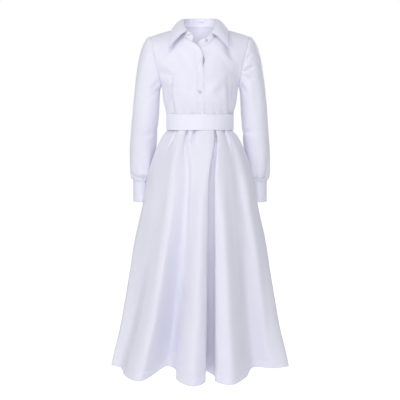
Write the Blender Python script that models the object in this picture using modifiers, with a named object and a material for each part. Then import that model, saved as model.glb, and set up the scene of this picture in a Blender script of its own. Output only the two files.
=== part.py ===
"""A white satin shirt dress in the hollow form it has when it is worn.

It has a pointed collar on a stand, a button band, set-in sleeves gathered into cuffs, a sash belt
and a long flared skirt with pressed tucks, deep flutes and one inverted pleat. Lengths here are
millimetres. +Z is up, the front faces -Y and the wearer's left is +X. The origin lies midway
between the wearer's shoulders, level with the points where the shoulder seams meet the neck.
"""

import math
from typing import NamedTuple

import bmesh
import bpy
import numpy as np
from mathutils import Matrix, Vector

MM = 0.001
WALL = 1.2
SEAM = 0.5
RIGHT, LEFT = -1, 1
FRONT, BACK = -1, 1

WAIST_Z = -345.0
BELT_TOP_Z, BELT_BOTTOM_Z = -315.0, -375.0
HIP_Z, HEM_Z = -560.0, -1284.0
UNDERARM_Z = -214.0


class Level(NamedTuple):
    """A horizontal section of the bodice, its depths measured from the middle plane."""

    z: float
    half_width: float
    front: float
    back: float
    middle: float


BODICE = (
    Level(z=-345.0, half_width=121.0, front=82.0, back=86.0, middle=2.0),
    Level(z=-315.0, half_width=122.0, front=83.0, back=87.0, middle=2.0),
    Level(z=-299.0, half_width=128.5, front=90.0, back=93.0, middle=3.0),
    Level(z=-268.0, half_width=136.0, front=99.0, back=99.0, middle=5.0),
    Level(z=-214.0, half_width=142.0, front=104.0, back=105.0, middle=8.0),
    Level(z=-170.0, half_width=160.0, front=100.0, back=107.0, middle=8.0),
    Level(z=-120.0, half_width=190.0, front=92.0, back=102.0, middle=8.0),
)
PLAIN_ROWS = (-344.7, -330.0, -315.0, -300.0, -283.0, -262.0, -238.0)

# The armhole is a leaning loop from the shoulder point down to the underarm.
ARMHOLE_X, ARMHOLE_LEAN, ARMHOLE_NOTCH = 162.5, 20.5, 2.0
ARMHOLE_Y, ARMHOLE_FRONT, ARMHOLE_BACK = 8.0, 58.0, 62.0
ARMHOLE_TOP_Z = -31.0
ARMHOLE_Z = (ARMHOLE_TOP_Z + UNDERARM_Z) / 2
ARMHOLE_RISE = (ARMHOLE_TOP_Z - UNDERARM_Z) / 2
ARMHOLE_STEPS = 10
SHOULDER_BULGE = 4.0
SHOULDER_SEAM = 1.1
ARMHOLE_HOLD = 4
SMALL = 0.01

BUST_X, BUST_Z, BUST_OUT = 78.0, -236.0, 12.0
BUST_WIDE, BUST_HIGH = 46.0, 44.0
DART_TOP_X, DART_LOW_X, DART_IN, DART_WIDE = 104.0, 97.0, 3.5, 9.0
DART_TOP_Z, DART_FADE = -255.0, 0.25


class NeckPoint(NamedTuple):
    """A point of the neck seam, from the left front end round the back to the right front end."""

    name: str
    x: float
    y: float
    z: float


NECK = (
    NeckPoint("left end", x=-4.0, y=-81.0, z=-76.0),
    NeckPoint("left front", x=25.0, y=-78.0, z=-70.0),
    NeckPoint("left hollow", x=47.0, y=-66.0, z=-50.0),
    NeckPoint("left side", x=62.0, y=-35.0, z=-22.0),
    NeckPoint("left shoulder", x=66.0, y=5.0, z=0.0),
    NeckPoint("left nape", x=48.0, y=50.0, z=9.0),
    NeckPoint("nape", x=0.0, y=67.0, z=12.0),
    NeckPoint("right nape", x=-48.0, y=50.0, z=9.0),
    NeckPoint("right shoulder", x=-66.0, y=5.0, z=0.0),
    NeckPoint("right side", x=-62.0, y=-38.0, z=-22.0),
    NeckPoint("right hollow", x=-52.0, y=-66.0, z=-42.0),
    NeckPoint("right end", x=-27.0, y=-86.0, z=-58.0),
)
NECK_LEFT_SHOULDER, NECK_RIGHT_SHOULDER, NECK_LAST = 4, 8, 11


class Edge(NamedTuple):
    """How far a front reaches past the middle: x of its free edge and of its band seam, and its lift.

    The upper front has a band sewn to its edge. The under one has none, so its seam is its edge.
    """

    z: float
    edge_x: float
    seam_x: float
    lift: float


UPPER_EDGE = (
    Edge(z=-345.0, edge_x=15.0, seam_x=-10.0, lift=0.7),
    Edge(z=-170.0, edge_x=14.0, seam_x=-10.0, lift=0.7),
    Edge(z=-140.0, edge_x=9.5, seam_x=-15.0, lift=2.5),
    Edge(z=-120.0, edge_x=9.0, seam_x=-16.0, lift=3.5),
)
UNDER_EDGE = (
    Edge(z=-345.0, edge_x=-11.0, seam_x=-11.0, lift=-1.1),
    Edge(z=-170.0, edge_x=-5.0, seam_x=-5.0, lift=-1.1),
    Edge(z=-140.0, edge_x=13.0, seam_x=13.0, lift=-2.0),
    Edge(z=-120.0, edge_x=19.0, seam_x=19.0, lift=-2.5),
)
LIFT_FULL_X, LIFT_NONE_X = 18.0, 50.0
BAND_NECK_SHARE = {RIGHT: 0.85, LEFT: 0.0}
BAND_NECK_GAP = 0.02
OPEN_FRONT_ASIDE = {RIGHT: 24.0, LEFT: 0.0}
ASIDE_SEAM_SHARE, ASIDE_REACH = 0.7, 0.35
EDGE_BULGE = {RIGHT: 9.0, LEFT: 3.0}
EDGE_FLAT_SHARE = {RIGHT: 0.0, LEFT: 0.2}
FRONT_BULGE, BACK_BULGE, NAPE_BULGE = 37.0, 38.0, 10.0
BULGE_OUT, BULGE_UP = 0.84, 0.54
FRONT_COLUMNS = {RIGHT: 12, LEFT: 14}
FRONT_NECK_COLUMNS = {RIGHT: 7, LEFT: 9}
BACK_COLUMNS, BACK_NECK_COLUMNS = 22, 12
BAND_COLUMNS = 3

STAND_HIGH, STAND_HIGH_FRONT, STAND_COLUMNS, STAND_ROWS = 31.0, 27.0, 44, 2
STAND_LEAN, STAND_INSET, STAND_LIFT = 0.22, 0.9, 0.45
STAND_END_SHARE, STAND_END_REACH = 0.55, 0.5


class CollarPoint(NamedTuple):
    """A point of the collar leaf's outer edge, and the place on the neck seam it falls from."""

    neck: float
    x: float
    y: float
    z: float


COLLAR = (
    CollarPoint(neck=1.75, x=101.0, y=-90.0, z=-82.0),
    CollarPoint(neck=3.0, x=101.0, y=-62.0, z=-44.0),
    CollarPoint(neck=4.0, x=98.0, y=-6.0, z=2.0),
    CollarPoint(neck=5.0, x=70.0, y=66.0, z=2.0),
    CollarPoint(neck=6.0, x=0.0, y=90.0, z=0.0),
    CollarPoint(neck=7.0, x=-70.0, y=66.0, z=2.0),
    CollarPoint(neck=8.0, x=-99.0, y=-6.0, z=2.0),
    CollarPoint(neck=9.0, x=-107.0, y=-58.0, z=-44.0),
    CollarPoint(neck=10.25, x=-114.0, y=-87.0, z=-84.0),
)
COLLAR_COLUMNS, ROLL_RISE = 34, 1.6
COLLAR_BULGE, BULGE_EARLY, COLLAR_BULGE_UP = 5.0, 0.6, 0.9
COLLAR_ROWS = (0.0, 0.02, 0.15, 0.4, 0.7, 1.0)


class SleeveRing(NamedTuple):
    """A section of the sleeve: its outer and inner x, its middle and half depth in y, and tilt."""

    z: float
    outer: float
    inner: float
    middle: float
    half_depth: float
    tilt: float


SLEEVE = (
    SleeveRing(z=-223.0, outer=241.5, inner=150.5, middle=13.0, half_depth=51.0, tilt=17.0),
    SleeveRing(z=-300.0, outer=251.5, inner=154.5, middle=22.0, half_depth=49.0, tilt=6.0),
    SleeveRing(z=-386.0, outer=259.5, inner=161.0, middle=36.0, half_depth=49.0, tilt=0.0),
    SleeveRing(z=-454.0, outer=266.5, inner=168.0, middle=50.0, half_depth=49.0, tilt=0.0),
    SleeveRing(z=-505.0, outer=268.5, inner=172.0, middle=57.0, half_depth=48.0, tilt=0.0),
    SleeveRing(z=-540.0, outer=267.0, inner=176.0, middle=61.0, half_depth=46.0, tilt=0.0),
    SleeveRing(z=-558.0, outer=263.0, inner=182.0, middle=62.0, half_depth=42.0, tilt=0.0),
    SleeveRing(z=-571.0, outer=258.0, inner=191.0, middle=63.0, half_depth=37.0, tilt=0.0),
)
SLEEVE_ROWS = (-260.0, -300.0, -345.0, -390.0, -435.0, -480.0, -512.0, -536.0, -550.0, -561.0, -571.0)
SLEEVE_CAP_ROWS = 5
SLEEVE_CAP_PULL, SLEEVE_UNDER_PULL, SLEEVE_FALL_PULL = 118.0, 12.0, 105.0
SLEEVE_UNDER_FALL, SLEEVE_FALL_STEP = 0.45, 30.0
SLEEVE_ROOT_OUT, SLEEVE_ROOT_UNDER = 0.9, 1.0
LEAVE_ROUND, LEAVE_DOWN, LEAVE_DOWN_SIDE, LEAVE_DOWN_UNDER = 16.0, 14.0, 26.0, 0.4
GATHERS, GATHER_DEEP, GATHER_Z, GATHER_REACH, GATHER_FADE = 5, 3.0, -556.0, 26.0, 6.0

CUFF_TOP_Z, CUFF_BOTTOM_Z = -571.9, -652.0
CUFF_X, CUFF_Y, CUFF_HALF_WIDTH, CUFF_HALF_DEPTH = 224.5, 63.0, 33.5, 37.0
CUFF_COLUMNS, CUFF_START, CUFF_OVERLAP, CUFF_LIFT = 26, 283.0, 34.0, 1.7

BELT_OUT, BELT_COLUMNS, BELT_START, BELT_OVERLAP, BELT_LIFT = 4.1, 60, 254.0, 32.0, 2.9
BELT_END_ANGLE = 270.0
LAP_CLEAR, LAP_RISE = 1.35, 0.1
HOOK_WIDE, HOOK_HIGH, HOOK_THICK, HOOK_RISE = 14.0, 9.0, 0.9, 14.0


class Width(NamedTuple):
    """The half width of the skirt at one height."""

    z: float
    half_width: float


SKIRT_SIDE = (
    Width(z=-345.0, half_width=121.0),
    Width(z=-378.0, half_width=123.2),
    Width(z=-392.0, half_width=136.0),
    Width(z=-410.0, half_width=147.0),
    Width(z=-454.0, half_width=169.0),
    Width(z=-510.0, half_width=190.0),
    Width(z=-570.0, half_width=206.0),
    Width(z=-655.0, half_width=220.5),
    Width(z=-792.0, half_width=249.0),
    Width(z=-908.0, half_width=268.0),
    Width(z=-1026.0, half_width=288.5),
    Width(z=-1145.0, half_width=311.0),
    Width(z=-1240.0, half_width=334.5),
    Width(z=-1284.0, half_width=343.5),
)
SKIRT_SIDE_Y = 6.0
SKIRT_ROWS = (
    -345.4, -377.0, -388.0, -403.0, -425.0, -460.0, -510.0,
    -580.0, -670.0, -785.0, -910.0, -1035.0, -1160.0, -1284.0,
)


class Fold(NamedTuple):
    """A fold line of the skirt, from the belt past the hip to the hem.

    columns is the number of strips from it to the next one, and belt_tuck how far the tuck is
    pressed in at the belt. hip and hem are x and y there.
    """

    name: str
    columns: int
    belt_x: float
    belt_tuck: float
    hip: tuple[float, float]
    hem: tuple[float, float]


FRONT_FOLDS = (
    Fold("left hollow", 4, belt_x=-84.0, belt_tuck=5.0, hip=(-142.0, -92.0), hem=(-306.0, -12.0)),
    Fold("first flute side", 3, belt_x=-75.0, belt_tuck=0.0, hip=(-122.0, -110.0), hem=(-276.0, -98.0)),
    Fold("first flute", 4, belt_x=-64.0, belt_tuck=0.0, hip=(-94.0, -128.0), hem=(-218.0, -146.0)),
    Fold("first valley", 4, belt_x=-47.0, belt_tuck=7.0, hip=(-53.0, -116.0), hem=(-125.0, -2.0)),
    Fold("second flute side", 3, belt_x=-22.0, belt_tuck=5.0, hip=(-30.0, -136.0), hem=(-80.0, -134.0)),
    Fold("second flute", 4, belt_x=12.0, belt_tuck=0.0, hip=(0.0, -148.0), hem=(-27.0, -190.0)),
    Fold("pleat left lip", 3, belt_x=48.5, belt_tuck=0.5, hip=(31.0, -144.0), hem=(22.0, -150.0)),
    Fold("pleat back", 3, belt_x=53.5, belt_tuck=9.0, hip=(39.0, -96.0), hem=(38.0, -20.0)),
    Fold("pleat right lip", 3, belt_x=58.5, belt_tuck=0.5, hip=(47.0, -141.0), hem=(56.0, -150.0)),
    Fold("third flute", 4, belt_x=72.0, belt_tuck=0.0, hip=(80.0, -136.0), hem=(111.0, -178.0)),
    Fold("third flute side", 3, belt_x=85.0, belt_tuck=5.0, hip=(110.0, -117.0), hem=(167.0, -112.0)),
    Fold("right hollow", 3, belt_x=96.0, belt_tuck=1.0, hip=(134.0, -99.0), hem=(206.0, -12.0)),
    Fold("right gore", 4, belt_x=108.0, belt_tuck=0.5, hip=(172.0, -76.0), hem=(278.0, -24.0)),
)
BACK_FOLDS = (
    Fold("left side hollow", 4, belt_x=104.0, belt_tuck=2.0, hip=(172.0, 86.0), hem=(290.0, 62.0)),
    Fold("left outer flute", 4, belt_x=84.0, belt_tuck=0.0, hip=(130.0, 124.0), hem=(220.0, 150.0)),
    Fold("left valley", 4, belt_x=58.0, belt_tuck=6.0, hip=(86.0, 128.0), hem=(144.0, 86.0)),
    Fold("left inner flute", 4, belt_x=30.0, belt_tuck=0.0, hip=(45.0, 152.0), hem=(72.0, 178.0)),
    Fold("middle valley", 4, belt_x=3.0, belt_tuck=6.0, hip=(4.0, 141.0), hem=(3.0, 112.0)),
    Fold("right inner flute", 4, belt_x=-27.0, belt_tuck=0.0, hip=(-43.0, 152.0), hem=(-78.0, 182.0)),
    Fold("right valley", 4, belt_x=-58.0, belt_tuck=6.0, hip=(-90.0, 126.0), hem=(-150.0, 82.0)),
    Fold("right outer flute", 4, belt_x=-84.0, belt_tuck=0.0, hip=(-132.0, 122.0), hem=(-226.0, 148.0)),
    Fold("right side hollow", 4, belt_x=-104.0, belt_tuck=2.0, hip=(-172.0, 84.0), hem=(-294.0, 56.0)),
)
SIDE_COLUMNS, SIDE_SEAM = 4, 0.8
SLEEVE_DENT, DENT_Z, DENT_Y, DENT_HIGH, DENT_WIDE = 34.0, -605.0, 60.0, 112.0, 42.0
DENT_FROM_X, DENT_FULL_X = 110.0, 170.0



class ButtonRing(NamedTuple):
    """A ring of the button's turned shape, as shares of its radius and thickness."""

    radius: float
    height: float


BUTTON_RADIUS, BUTTON_THICK, BUTTON_STEPS = 5.6, 2.4, 20
BUTTON = (
    ButtonRing(radius=0.0, height=0.0),
    ButtonRing(radius=0.82, height=0.0),
    ButtonRing(radius=1.0, height=0.45),
    ButtonRing(radius=0.93, height=0.9),
    ButtonRing(radius=0.8, height=1.0),
    ButtonRing(radius=0.62, height=0.7),
    ButtonRing(radius=0.0, height=0.7),
)
STAND_BUTTON_NECK, STAND_BUTTON_UP, STAND_BUTTON_STEP = 0.95, 0.62, 0.1
FRONT_BUTTON_ROW, FRONT_BUTTON_COLUMN = 6.0, 1.56
CUFF_BUTTON_ROW, CUFF_BUTTON_COLUMN = 1.0, 24.8
BUTTON_CLEAR = 0.45

LOOP_HALF_NECK, LOOP_UP_LOW, LOOP_UP_HIGH, LOOP_CLEAR, LOOP_COLUMNS = 0.34, 0.58, 0.72, 0.4, 6

WHITE = (0.86, 0.86, 0.92)
PEARL = (0.80, 0.80, 0.84)
STEEL = (0.55, 0.55, 0.58)


def field(rows, name):
    """One named column of a table."""
    return np.array([getattr(row, name) for row in rows], float)


def ease(share):
    """A smooth step from 0 to 1."""
    share = np.clip(share, 0.0, 1.0)
    return share * share * (3.0 - 2.0 * share)


def track(stops, values, at):
    """A cubic through the values at the rising stops that never overshoots them, read at `at`."""
    stops, values, at = (np.asarray(a, float) for a in (stops, values, at))
    step = np.diff(stops)
    rise = np.diff(values) / step
    slope = np.concatenate([rise[:1], np.zeros(len(rise) - 1), rise[-1:]])
    same_way = rise[:-1] * rise[1:] > 0
    left, right = (np.where(same_way, r, 1.0) for r in (rise[:-1], rise[1:]))
    slope[1:-1] = np.where(same_way, 2.0 * left * right / (left + right), 0.0)
    span = np.clip(np.searchsorted(stops, at, side="right") - 1, 0, len(step) - 1)
    t = np.clip((at - stops[span]) / step[span], 0.0, 1.0)
    back = 1.0 - t
    return (
        values[span] * (1 + 2 * t) * back**2
        + values[span + 1] * t**2 * (3 - 2 * t)
        + step[span] * t * back * (slope[span] * back - slope[span + 1] * t)
    )


def at_height(rows, name, z):
    """A named column of a table of heights, read at the height z."""
    order = np.argsort(field(rows, "z"))
    return track(field(rows, "z")[order], field(rows, name)[order], z)


def curve_at(points, where, closed=False):
    """Points of a smooth curve through `points`: 2.5 is halfway between the third and fourth."""
    points = np.asarray(points, float)
    count = len(points)
    spans = count if closed else count - 1
    following = (np.arange(spans) + 1) % count
    move = points[following] - points[:spans]
    length = np.sqrt(np.linalg.norm(move, axis=1))
    rate = move / length[:, None]
    before = (np.arange(count) - 1) % spans if closed else np.maximum(np.arange(count) - 1, 0)
    after = np.arange(count) % spans if closed else np.minimum(np.arange(count), spans - 1)
    weight = (length[after] / (length[before] + length[after]))[:, None]
    tangent = rate[before] * weight + rate[after] * (1.0 - weight)
    where = np.asarray(where, float)
    span = np.clip(np.floor(where).astype(int), 0, spans - 1)
    t = (where - span)[:, None]
    back = 1.0 - t
    reach = length[span][:, None]
    return (
        points[span] * (1 + 2 * t) * back**2
        + points[following[span]] * t**2 * (3 - 2 * t)
        + reach * t * back * (tangent[span] * back - tangent[following[span]] * t)
    )


def blend(share, first, last):
    """The points between two rows of points, one for each share."""
    share = np.asarray(share, float)[:, None]
    return first + (last - first) * share


def armhole(psi, side, face):
    """Points of the armhole seam: psi is 0 at the shoulder point and pi at the underarm."""
    psi = np.asarray(psi, float)
    deep = ARMHOLE_FRONT if face == FRONT else ARMHOLE_BACK
    x = ARMHOLE_X + ARMHOLE_LEAN * np.cos(psi) - ARMHOLE_NOTCH * np.sin(psi) ** 2
    y = ARMHOLE_Y + face * deep * np.sin(psi)
    z = ARMHOLE_Z + ARMHOLE_RISE * np.cos(psi)
    return np.stack([side * x, y, z], axis=-1)


def neck(where):
    """Points of the neck seam, numbered as the rows of NECK are."""
    return curve_at([(p.x, p.y, p.z) for p in NECK], np.atleast_1d(where))


def shoulder(share, side):
    """Points of the shoulder seam, from the neck to the shoulder point."""
    start = neck(NECK_LEFT_SHOULDER)[0] * (side, 1, 1)
    points = blend(share, start, armhole(0.0, side, FRONT))
    points[:, 2] += 4.0 * SHOULDER_BULGE * share * (1.0 - share)
    return points


def armhole_rows():
    """The angles of the armhole at which the bodice has rows, from the underarm up."""
    return math.pi * np.arange(ARMHOLE_STEPS, -1, -1) / ARMHOLE_STEPS


def section(z, psi, side, face, share, start_x=0.0, end_x=None):
    """Points of one horizontal section of the bodice, from start_x to end_x, counted towards the side.

    It is an arc of the ellipse through the middle of the front or back and the outer point, which
    is on the side seam or, where psi is given, on the armhole. With no end_x it ends there.
    """
    middle = at_height(BODICE, "middle", z)
    deep = at_height(BODICE, "front" if face == FRONT else "back", z)
    reach = deep - face * middle
    if psi is None:
        outer_x, outer_angle = at_height(BODICE, "half_width", z), math.pi / 2
    else:
        outer = armhole(psi, 1, face)
        outer_x = outer[0]
        outer_angle = math.acos(np.clip(face * (outer[1] - middle) / reach, 0.0, 1.0))
    half_width = outer_x / math.sin(outer_angle)
    start = math.asin(start_x / half_width)
    end = outer_angle if end_x is None else math.asin(end_x / half_width)
    angle = start + (end - start) * np.asarray(share)
    x = half_width * np.sin(angle)
    y = middle + face * reach * np.cos(angle)
    return np.stack([side * x, y, np.full_like(x, z)], axis=-1)


def add_bust(points):
    """Moves the front out over the cups and in along the waist darts."""
    x, z = np.abs(points[..., 0]), points[..., 2]
    out = BUST_OUT * np.exp(-(((x - BUST_X) / BUST_WIDE) ** 2) - ((z - BUST_Z) / BUST_HIGH) ** 2)
    down = np.clip((DART_TOP_Z - z) / (DART_TOP_Z - WAIST_Z), 0.0, 1.0)
    dart_x = DART_TOP_X + (DART_LOW_X - DART_TOP_X) * down
    fade = ease(down / DART_FADE) * ease((1.0 - down) / DART_FADE)
    dart = DART_IN * fade * np.exp(-(((x - dart_x) / DART_WIDE) ** 2))
    points[..., 1] -= out - dart


def upper_rows(chest, top, bulge, aside, face):
    """Rows from the chest up to the neck and shoulder.

    Each column is an arc that bulges outwards and upwards, and may lean aside in x.
    """
    middle = (chest + top) / 2 + bulge[:, None] * np.array([0.0, face * BULGE_OUT, BULGE_UP])
    middle[:, 0] += aside
    steps = ARMHOLE_STEPS // 2
    rows = []
    for step in range(1, steps + 1):
        t = step / steps
        rows.append(chest * (1 - t) ** 2 + middle * 2 * t * (1 - t) + top * t**2)
    return rows


def front_piece(side, band):
    """The grid of a front panel from its inner edge to the side seam, or of the button band."""
    edges = UPPER_EDGE if side == RIGHT else UNDER_EDGE
    columns = BAND_COLUMNS if band else FRONT_COLUMNS[side]
    share = np.linspace(0.0, 1.0, columns + 1)
    rows = []
    angles = armhole_rows()
    lower = [(z, None) for z in PLAIN_ROWS]
    lower += [(ARMHOLE_Z + ARMHOLE_RISE * math.cos(a), a) for a in angles[: ARMHOLE_STEPS // 2 + 1]]
    for z, psi in lower:
        edge, seam = (side * at_height(edges, name, z) for name in ("edge_x", "seam_x"))
        if band:
            points = section(z, psi, side, FRONT, share, start_x=edge, end_x=seam - SEAM)
        else:
            points = section(z, psi, side, FRONT, share, start_x=seam)
            if psi is None or psi > math.pi - SMALL:
                points[-1, 1] -= SEAM / 2
        fade = ease((LIFT_NONE_X - side * points[:, 0]) / (LIFT_NONE_X - LIFT_FULL_X))
        add_bust(points)
        points[:, 1] -= at_height(edges, "lift", z) * fade
        rows.append(points)
    rows += upper_rows(rows[-1], *front_top(side, band, share), FRONT)
    if not band:
        fit_armhole(rows, side, FRONT, share)
    return np.array(rows)


def front_top(side, band, share):
    """The top edge of a front piece, and how far each of its columns bulges and leans aside."""
    first, shoulder_at = (0, NECK_LEFT_SHOULDER) if side == LEFT else (NECK_LAST, NECK_RIGHT_SHOULDER)
    seam_at = first + side * BAND_NECK_SHARE[side]
    if band:
        top = neck(first + (seam_at - side * BAND_NECK_GAP - first) * share)
        bulge = np.full(len(share), EDGE_BULGE[side])
        aside = OPEN_FRONT_ASIDE[side] * (1.0 - (1.0 - ASIDE_SEAM_SHARE) * share)
    else:
        turn = FRONT_NECK_COLUMNS[side] / FRONT_COLUMNS[side]
        around = np.clip(share / turn, 0.0, 1.0)
        top = neck(seam_at + (shoulder_at - seam_at) * around)
        along = np.clip((share - turn) / (1.0 - turn), 0.0, 1.0)
        past = share > turn
        top[past] = shoulder(along[past], side)
        top[share > turn - SMALL, 1] -= SHOULDER_SEAM / 2
        flat = EDGE_FLAT_SHARE[side]
        bulge = EDGE_BULGE[side] + (FRONT_BULGE - EDGE_BULGE[side]) * ease((around - flat) / (1.0 - flat))
        aside = OPEN_FRONT_ASIDE[side] * ASIDE_SEAM_SHARE * (1.0 - ease(share / ASIDE_REACH))
    return top, bulge, aside


def fit_armhole(rows, side, face, share):
    """Brings the outer column of the rows above the chest onto the armhole seam."""
    weight = share[:, None] ** ARMHOLE_HOLD
    steps = ARMHOLE_STEPS // 2
    for row, psi in zip(rows[-steps:], armhole_rows()[-steps:]):
        wanted = armhole(psi, side, face)
        if psi < SMALL:
            wanted[1] += face * SHOULDER_SEAM / 2
        row += weight * (wanted - row[-1])


def back_piece():
    """The grid of the bodice back, from the right side seam to the left one."""
    half = BACK_COLUMNS // 2
    share = np.linspace(0.0, 1.0, half + 1)
    sides = []
    for side in (RIGHT, LEFT):
        rows = []
        for z in PLAIN_ROWS:
            rows.append(section(z, None, side, BACK, share))
        for psi in armhole_rows()[: ARMHOLE_STEPS // 2 + 1]:
            z = ARMHOLE_Z + ARMHOLE_RISE * math.cos(psi)
            rows.append(section(z, psi, side, BACK, share))
        for row in rows[: len(PLAIN_ROWS) + 1]:
            row[-1, 1] += SEAM / 2
        turn = BACK_NECK_COLUMNS / BACK_COLUMNS
        nape, shoulder_at = NECK_LEFT_SHOULDER + 2, NECK_LEFT_SHOULDER
        top = neck(nape + (shoulder_at - nape) * np.clip(share / turn, 0.0, 1.0)) * (side, 1, 1)
        past = share > turn
        top[past] = shoulder((share[past] - turn) / (1.0 - turn), side)
        top[share > turn - SMALL, 1] += SHOULDER_SEAM / 2
        bulge = NAPE_BULGE + (BACK_BULGE - NAPE_BULGE) * ease(share / turn)
        rows += upper_rows(rows[-1], top, bulge, 0.0, BACK)
        fit_armhole(rows, side, BACK, share)
        sides.append(np.array(rows))
    return np.concatenate([sides[0][:, :0:-1], sides[1]], axis=1)


def stand_point(where, up):
    """Points of the collar stand: `where` on the neck seam, and `up` from its foot to its top."""
    where, up = np.atleast_1d(where), np.atleast_1d(up)
    foot = neck(where)
    along = neck(where + 0.01) - neck(where - 0.01)
    inward = np.stack([-along[:, 1], along[:, 0], np.zeros(len(where))], axis=-1)
    inward /= np.linalg.norm(inward, axis=1)[:, None]
    from_end = np.minimum(where, NECK_LAST - where)
    tall = STAND_HIGH_FRONT + (STAND_HIGH - STAND_HIGH_FRONT) * ease(from_end / 3.0)
    foot = foot + inward * STAND_INSET + np.array([0.0, 0.0, STAND_LIFT])
    rise = (inward * STAND_LEAN + np.array([0.0, 0.0, 1.0])) / math.hypot(STAND_LEAN, 1.0)
    return foot + rise * (tall * up)[:, None]


def stand_piece():
    """The grid of the collar stand, with its two front ends rounded at the top."""
    where = np.linspace(0.0, NECK_LAST, STAND_COLUMNS + 1)
    from_end = np.minimum(where, NECK_LAST - where)
    rounded = np.sqrt(np.clip(from_end / STAND_END_REACH, 0.0, 1.0))
    tall = STAND_END_SHARE + (1.0 - STAND_END_SHARE) * rounded
    return np.array([stand_point(where, tall * up) for up in np.linspace(0.0, 1.0, STAND_ROWS + 1)])


def collar_piece():
    """The grid of the collar leaf, from its roll line on the stand down to its pointed edge."""
    where = np.linspace(COLLAR[0].neck, COLLAR[-1].neck, COLLAR_COLUMNS + 1)
    place = np.interp(where, field(COLLAR, "neck"), np.arange(len(COLLAR)))
    edge = curve_at([(p.x, p.y, p.z) for p in COLLAR], place)
    roll = stand_point(where, np.ones(len(where))) + np.array([0.0, 0.0, ROLL_RISE])
    out = (edge - roll) * (1.0, 1.0, 0.0)
    out /= np.linalg.norm(out, axis=1)[:, None]
    rows = []
    for t in COLLAR_ROWS:
        swell = COLLAR_BULGE * math.sin(math.pi * t**BULGE_EARLY)
        rows.append(roll + (edge - roll) * t + (out + np.array([0.0, 0.0, COLLAR_BULGE_UP])) * swell)
    return np.array(rows)


def sleeve_ring(z, psi, side):
    """A section of the sleeve tube at height z, gathered near the cuff."""
    outer, inner, middle, half_depth, tilt = (
        at_height(SLEEVE, name, z) for name in ("outer", "inner", "middle", "half_depth", "tilt")
    )
    wave = GATHER_DEEP * math.exp(-(((z - GATHER_Z) / GATHER_REACH) ** 2)) * np.cos(GATHERS * psi)
    fade = ease((z - SLEEVE[-1].z) / GATHER_FADE)
    grow = 1.0 + wave * fade / half_depth
    x = (outer + inner) / 2 + (outer - inner) / 2 * np.cos(psi) * grow
    y = middle - half_depth * np.sin(psi) * grow
    return np.stack([side * x, y, z + tilt * np.cos(psi)], axis=-1)


def sleeve_piece(side):
    """The grid of a sleeve: it leaves the armhole outwards, turns down over the cap and hangs."""
    psi = math.pi * np.arange(2 * ARMHOLE_STEPS) / ARMHOLE_STEPS
    front = armhole(psi, side, FRONT)
    back = armhole(psi, side, BACK)
    back[:, 1] = ARMHOLE_Y - ARMHOLE_BACK * np.sin(psi)
    root = np.where((psi <= math.pi)[:, None], front, back)
    under = ((1.0 - np.cos(psi)) / 2)[:, None]
    root = root + np.array([side, 0.0, 0.0]) * (SLEEVE_ROOT_OUT + SLEEVE_ROOT_UNDER * under**2)
    first = sleeve_ring(SLEEVE[0].z, psi, side)
    fall = sleeve_ring(SLEEVE[0].z - SLEEVE_FALL_STEP, psi, side) - first
    fall *= SLEEVE_FALL_PULL / SLEEVE_FALL_STEP
    fall *= 1.0 - (1.0 - SLEEVE_UNDER_FALL) * under
    pull = SLEEVE_CAP_PULL + (SLEEVE_UNDER_PULL - SLEEVE_CAP_PULL) * under
    leave_y = -LEAVE_ROUND * np.sin(psi)
    leave_z = -(LEAVE_DOWN + LEAVE_DOWN_SIDE * np.abs(np.sin(psi)))
    leave_z *= 1.0 - (1.0 - LEAVE_DOWN_UNDER) * under[:, 0]
    leave = np.column_stack([side * pull[:, 0], leave_y, leave_z])
    rows = []
    for t in np.linspace(0.0, 1.0, SLEEVE_CAP_ROWS + 1):
        back_t = 1.0 - t
        rows.append(
            root * (1 + 2 * t) * back_t**2
            + first * t**2 * (3 - 2 * t)
            + t * back_t * (leave * back_t - fall * t)
        )
    rows += [sleeve_ring(z, psi, side) for z in SLEEVE_ROWS]
    return np.array(rows)


def wrapped_band(around, low_z, high_z, start, overlap, lift, columns):
    """The grid of a band round an oval, its outer end lying on the inner one.

    around gives x and y for an angle in radians and a distance outwards.
    """
    share = np.linspace(0.0, 1.0, columns + 1)
    angle = np.radians(start + (360.0 + overlap) * share)
    free = 1.0 - LAP_CLEAR * overlap / (360.0 + overlap)
    out = lift * ease((share - free + LAP_RISE) / LAP_RISE)
    flat = around(angle, out)
    heights = (low_z, (low_z + high_z) / 2, high_z)
    return np.array([np.column_stack([flat, np.full(len(flat), z)]) for z in heights])


def cuff_around(side):
    """The oval of a cuff; its angle counts from the outer side towards the front."""

    def around(angle, out):
        x = CUFF_X + (CUFF_HALF_WIDTH + out) * np.cos(angle)
        y = CUFF_Y - (CUFF_HALF_DEPTH + out) * np.sin(angle)
        return np.column_stack([side * x, y])

    return around


def waist_around(angle, out):
    """The oval of the waist, widened; its angle counts from the left side towards the front."""
    waist = BODICE[0]
    front = np.sin(angle) > 0
    deep = np.where(front, waist.front + waist.middle, waist.back - waist.middle) + out
    return np.column_stack([(waist.half_width + out) * np.cos(angle), waist.middle - deep * np.sin(angle)])


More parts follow.
